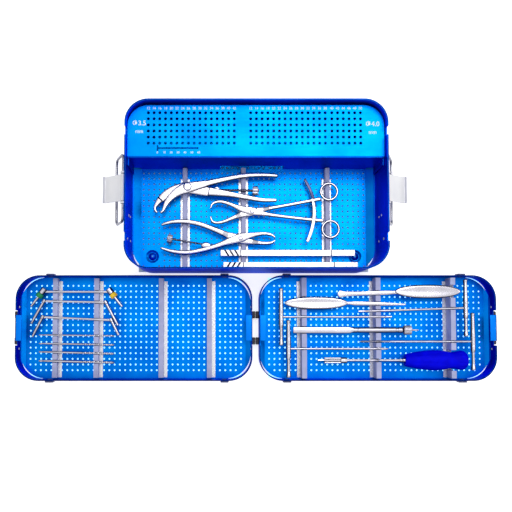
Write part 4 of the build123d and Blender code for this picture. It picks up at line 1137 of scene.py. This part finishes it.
def slotted_screw(node, dome):
    """A pivot screw with a domed, slotted head."""
    low, high = edges(node)
    cx, cy, _ = centre(node)
    r = (high[0] - low[0]) / 2
    shell = Shell()
    turned(shell, (cx, cy, low[2]), (cx, cy, high[2] - 1.2), r * 0.5, 4, 32)
    head = profile([(0, r), (0.35, r), (dome, r - 1.1)])
    turned(shell, (cx, cy, high[2] - 1.2), (cx, cy, high[2] - 0.05), head, 14, 48)
    for side in (-1, 1):
        y0, y1 = sorted((cy + side * 0.5, cy + side * r * 0.62))
        ring = [(cx - r * 0.6, y0), (cx + r * 0.6, y0), (cx + r * 0.45, y1), (cx - r * 0.45, y1)]
        if side < 0:
            ring = [(cx - r * 0.45, y0), (cx + r * 0.45, y0), (cx + r * 0.6, y1), (cx - r * 0.6, y1)]
        shell.rings([[(a, b, high[2] - 0.3) for a, b in ring], [(a, b, high[2]) for a, b in ring]])
    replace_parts(own_piece(node + "_slotted", node, shell, TOOL_STEEL), node)


for node in ("bone_forceps_pivot", "reduction_forceps_pivot", "small_forceps_pivot"):
    slotted_screw(node, 1.15)


def spindle(node, start, end, radius, pitch, eye):
    """A threaded spindle with a round eye at its pinned end."""
    low, high = edges(node)
    z = (low[2] + high[2]) / 2
    shell = Shell()

    def thread(d, a):
        if d < eye + 2:
            return radius * 0.9
        return radius * (0.86 + 0.14 * math.cos(d * math.tau / pitch + a))

    turned(shell, (*start, z), (*end, z), thread, 420, 20)
    boss = profile([(0, eye - 0.5), (0.5, eye), (3.2, eye), (3.8, eye - 0.5)])
    turned(shell, (*start, low[2]), (*start, high[2]), boss, 8, 40)
    stand_for(own_piece(node + "_threaded", node, shell, TOOL_STEEL, 35), node)


spindle("bone_forceps_spindle", (-59.0, 87.6), (5.5, 86.6), 2.2, 1.3, 4.4)
spindle("small_forceps_spindle", (-75.5, 3.6), (-135.5, 13.6), 1.7, 1.1, 3.2)


def nut(node, start, end, radius):
    """A knurled nut with chamfered ends."""
    low, high = edges(node)
    z = (low[2] + high[2]) / 2
    length = math.hypot(end[0] - start[0], end[1] - start[1])
    shell = Shell()

    def knurl(d, a):
        edge = 0.88 if d < 0.7 or d > length - 0.7 else 1.0
        return radius * edge * (1 - 0.06 * (math.cos(a * 18) > 0))

    turned(shell, (*start, z), (*end, z), knurl, 24, 72)
    stand_for(own_piece(node + "_knurled", node, shell, TOOL_STEEL, 30), node)


nut("bone_forceps_nut", (-4.2, 86.7), (4.0, 86.6), 7.0)
nut("small_forceps_nut", (-126.8, 12.15), (-134.3, 13.4), 6.6)

REDUCTION_PIVOT = (-5.0, 55.0)
REDUCTION_WIDTHS = [5.0, 4.8, 4.4, 4.6, 5.6, 10.0, 7.4, 5.2, 4.4, 3.8, 3.0, 1.4]
for node, path, ring_at, arm, upper, arm_z in (
    (
        "reduction_forceps_moving_half",
        [(101, 74.4), (92, 72.8), (68, 68.2), (38, 62.6), (14, 58.4), (-5, 54.6), (-21, 50.6), (-38, 43.4),
         (-52, 38.2), (-62, 37.6), (-67, 41.5), (-68.6, 47.5)],
        (113.0, 85.6),
        [(87.4, 71.5), (89.4, 58), (88.8, 43), (85, 25), (78.4, 7)],
        False,
        6.3,
    ),
    (
        "reduction_forceps_fixed_half",
        [(105, 40.4), (92, 41.6), (68, 44.0), (38, 47.6), (14, 51.2), (-5, 55.4), (-21, 58.8), (-38, 65.8),
         (-52, 69.8), (-62, 68.6), (-67, 64.6), (-68.6, 58.8)],
        (115.0, 27.6),
        [(87.6, 43.0), (90.4, 58), (89.2, 74), (84, 90), (75.6, 106)],
        True,
        -2.7,
    ),
):
    shell = Shell()
    bar(
        shell, along(path, REDUCTION_WIDTHS), 6.0, 170, 22, 2.8, lap=(*REDUCTION_PIVOT, 17.5, upper),
        ramp=LONG_RAMP,
    )
    turns = [k * math.tau / 12 for k in range(12)]
    circle = [(ring_at[0] + 12.7 * math.cos(a), ring_at[1] + 12.7 * math.sin(a), 3.9) for a in turns]
    bar(shell, circle, 5.0, 72, 18, 2.2, closed=True)
    arm_points = along(arm, [3.4, 4.2, 4.6, 4.6, 4.0])
    side = 1 if upper else -1
    rest_z = edges(node)[0][2] - min(0.0, arm_z)
    turned(shell, (*arm[0], min(arm_z, 1)), (*arm[0], max(arm_z, 5.6)), 2.2, 4, 24)
    teeth = Shell()
    bar(
        teeth, arm_points, 2.4, 260, 16, 4.0, mid=lambda s, z=rest_z + arm_z: (z + 1.2, 2.4),
        wave=(0.42, 0.96, 22, 1.2 if upper else 0.5, side),
    )
    shell.verts = [(x, y, z + rest_z) for x, y, z in shell.verts]
    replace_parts(own_piece(node + "_forged", node, shell, MIRROR_STEEL, 50), node)
    # Painted shade: the fixed half's ratchet arm, which lies lower, takes the near-black steel.
    steel_of_arm = SHADED_STEEL if upper else MIRROR_STEEL
    ratchet = own_piece(node.replace("_half", "_ratchet"), node, teeth, steel_of_arm, 50)
    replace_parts(ratchet, node)

SMALL_PIVOT = (-23.0, 13.4)
SMALL_WIDTHS = [3.0, 5.0, 5.8, 6.2, 6.6, 8.4, 11.4, 6.8, 5.2, 4.6, 2.4]
shell = Shell()
bar(
    shell,
    along(
        [(-144, 34), (-127, 38.6), (-106, 39.2), (-84, 35), (-62, 26.8), (-42, 18.6), (-23, 12.6),
         (-6, 8.6), (10, 6.2), (23, 6.6), (30.5, 10.4)],
        SMALL_WIDTHS,
    ),
    7.0, 180, 22, 3.0, lap=(*SMALL_PIVOT, 19.0, False), wave=(0.86, 0.985, 8, 1.0, 1), ramp=LONG_RAMP,
)
forceps_half("small_forceps_moving_half", shell)
shell = Shell()
bar(
    shell,
    along(
        [(-145, -1.2), (-127, -6.6), (-106, -8.6), (-84, -5.2), (-62, 0.8), (-42, 8.0), (-23, 14.0),
         (-6, 18.2), (10, 20.4), (23, 19.0), (30.5, 14.2)],
        SMALL_WIDTHS,
    ),
    7.0, 180, 22, 3.0, lap=(*SMALL_PIVOT, 19.0, True), wave=(0.86, 0.985, 8, 1.0, -1), ramp=LONG_RAMP,
)
bar(shell, [(-83, 2.6, 7.0), (-75.5, 2.6, 10.4), (-68, 2.6, 7.0)], 7.0, 40, 22, 2.6)
forceps_half("small_forceps_fixed_half", shell)

for node, slant, slots in (
    ("bending_iron_rear", 1, (9.2, 16.7, 24.2)),
    ("bending_iron_front", -1, (8.2, 15.7, 23.2)),
):
    bevelled(node, 0.3, IRON_STEEL)
    low, high = edges(node)
    y, top = (low[1] + high[1]) / 2, high[2]
    # Painted shade: thin near-black lines stand for the shade in the iron's slots, at its steps and at its
    # ends.
    iron_shades = Shell()

    def shade_line(x0, x1, half, wide, z0, z1, y=y, iron_shades=iron_shades):
        """A thin dark line of painted shade across the iron, leaning from x0 at the front to x1 at the
        rear.
        """
        ring = [(x0 - wide, y - half), (x0 + wide, y - half), (x1 + wide, y + half), (x1 - wide, y + half)]
        iron_shades.rings([[(a, b, z0) for a, b in ring], [(a, b, z1) for a, b in ring]])

    for x in slots:
        shade_line(low[0] + x + 2.8 * slant, low[0] + x - 2.8 * slant, 4.5, 0.9, top - 0.6, top - 0.05)
    for x in (low[0] + 30.6, high[0] - 35.6):
        shade_line(x, x, 4.5, 0.6, top - 0.6, top + 0.03)
    for x in (low[0] + 0.25, high[0] - 0.25):
        shade_line(x, x, 4.5, 0.35, top - 2.0, top - 0.2)
    for x in (high[0] - 17.5, high[0] - 8.5):
        shade_line(x, x, 3.2, 0.2, top - 0.4, top + 0.03)
    own_piece(node + "_cuts", node, iron_shades, LINE_SHADE)

# ---------------------------------------------------------------- bounds

low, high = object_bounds()
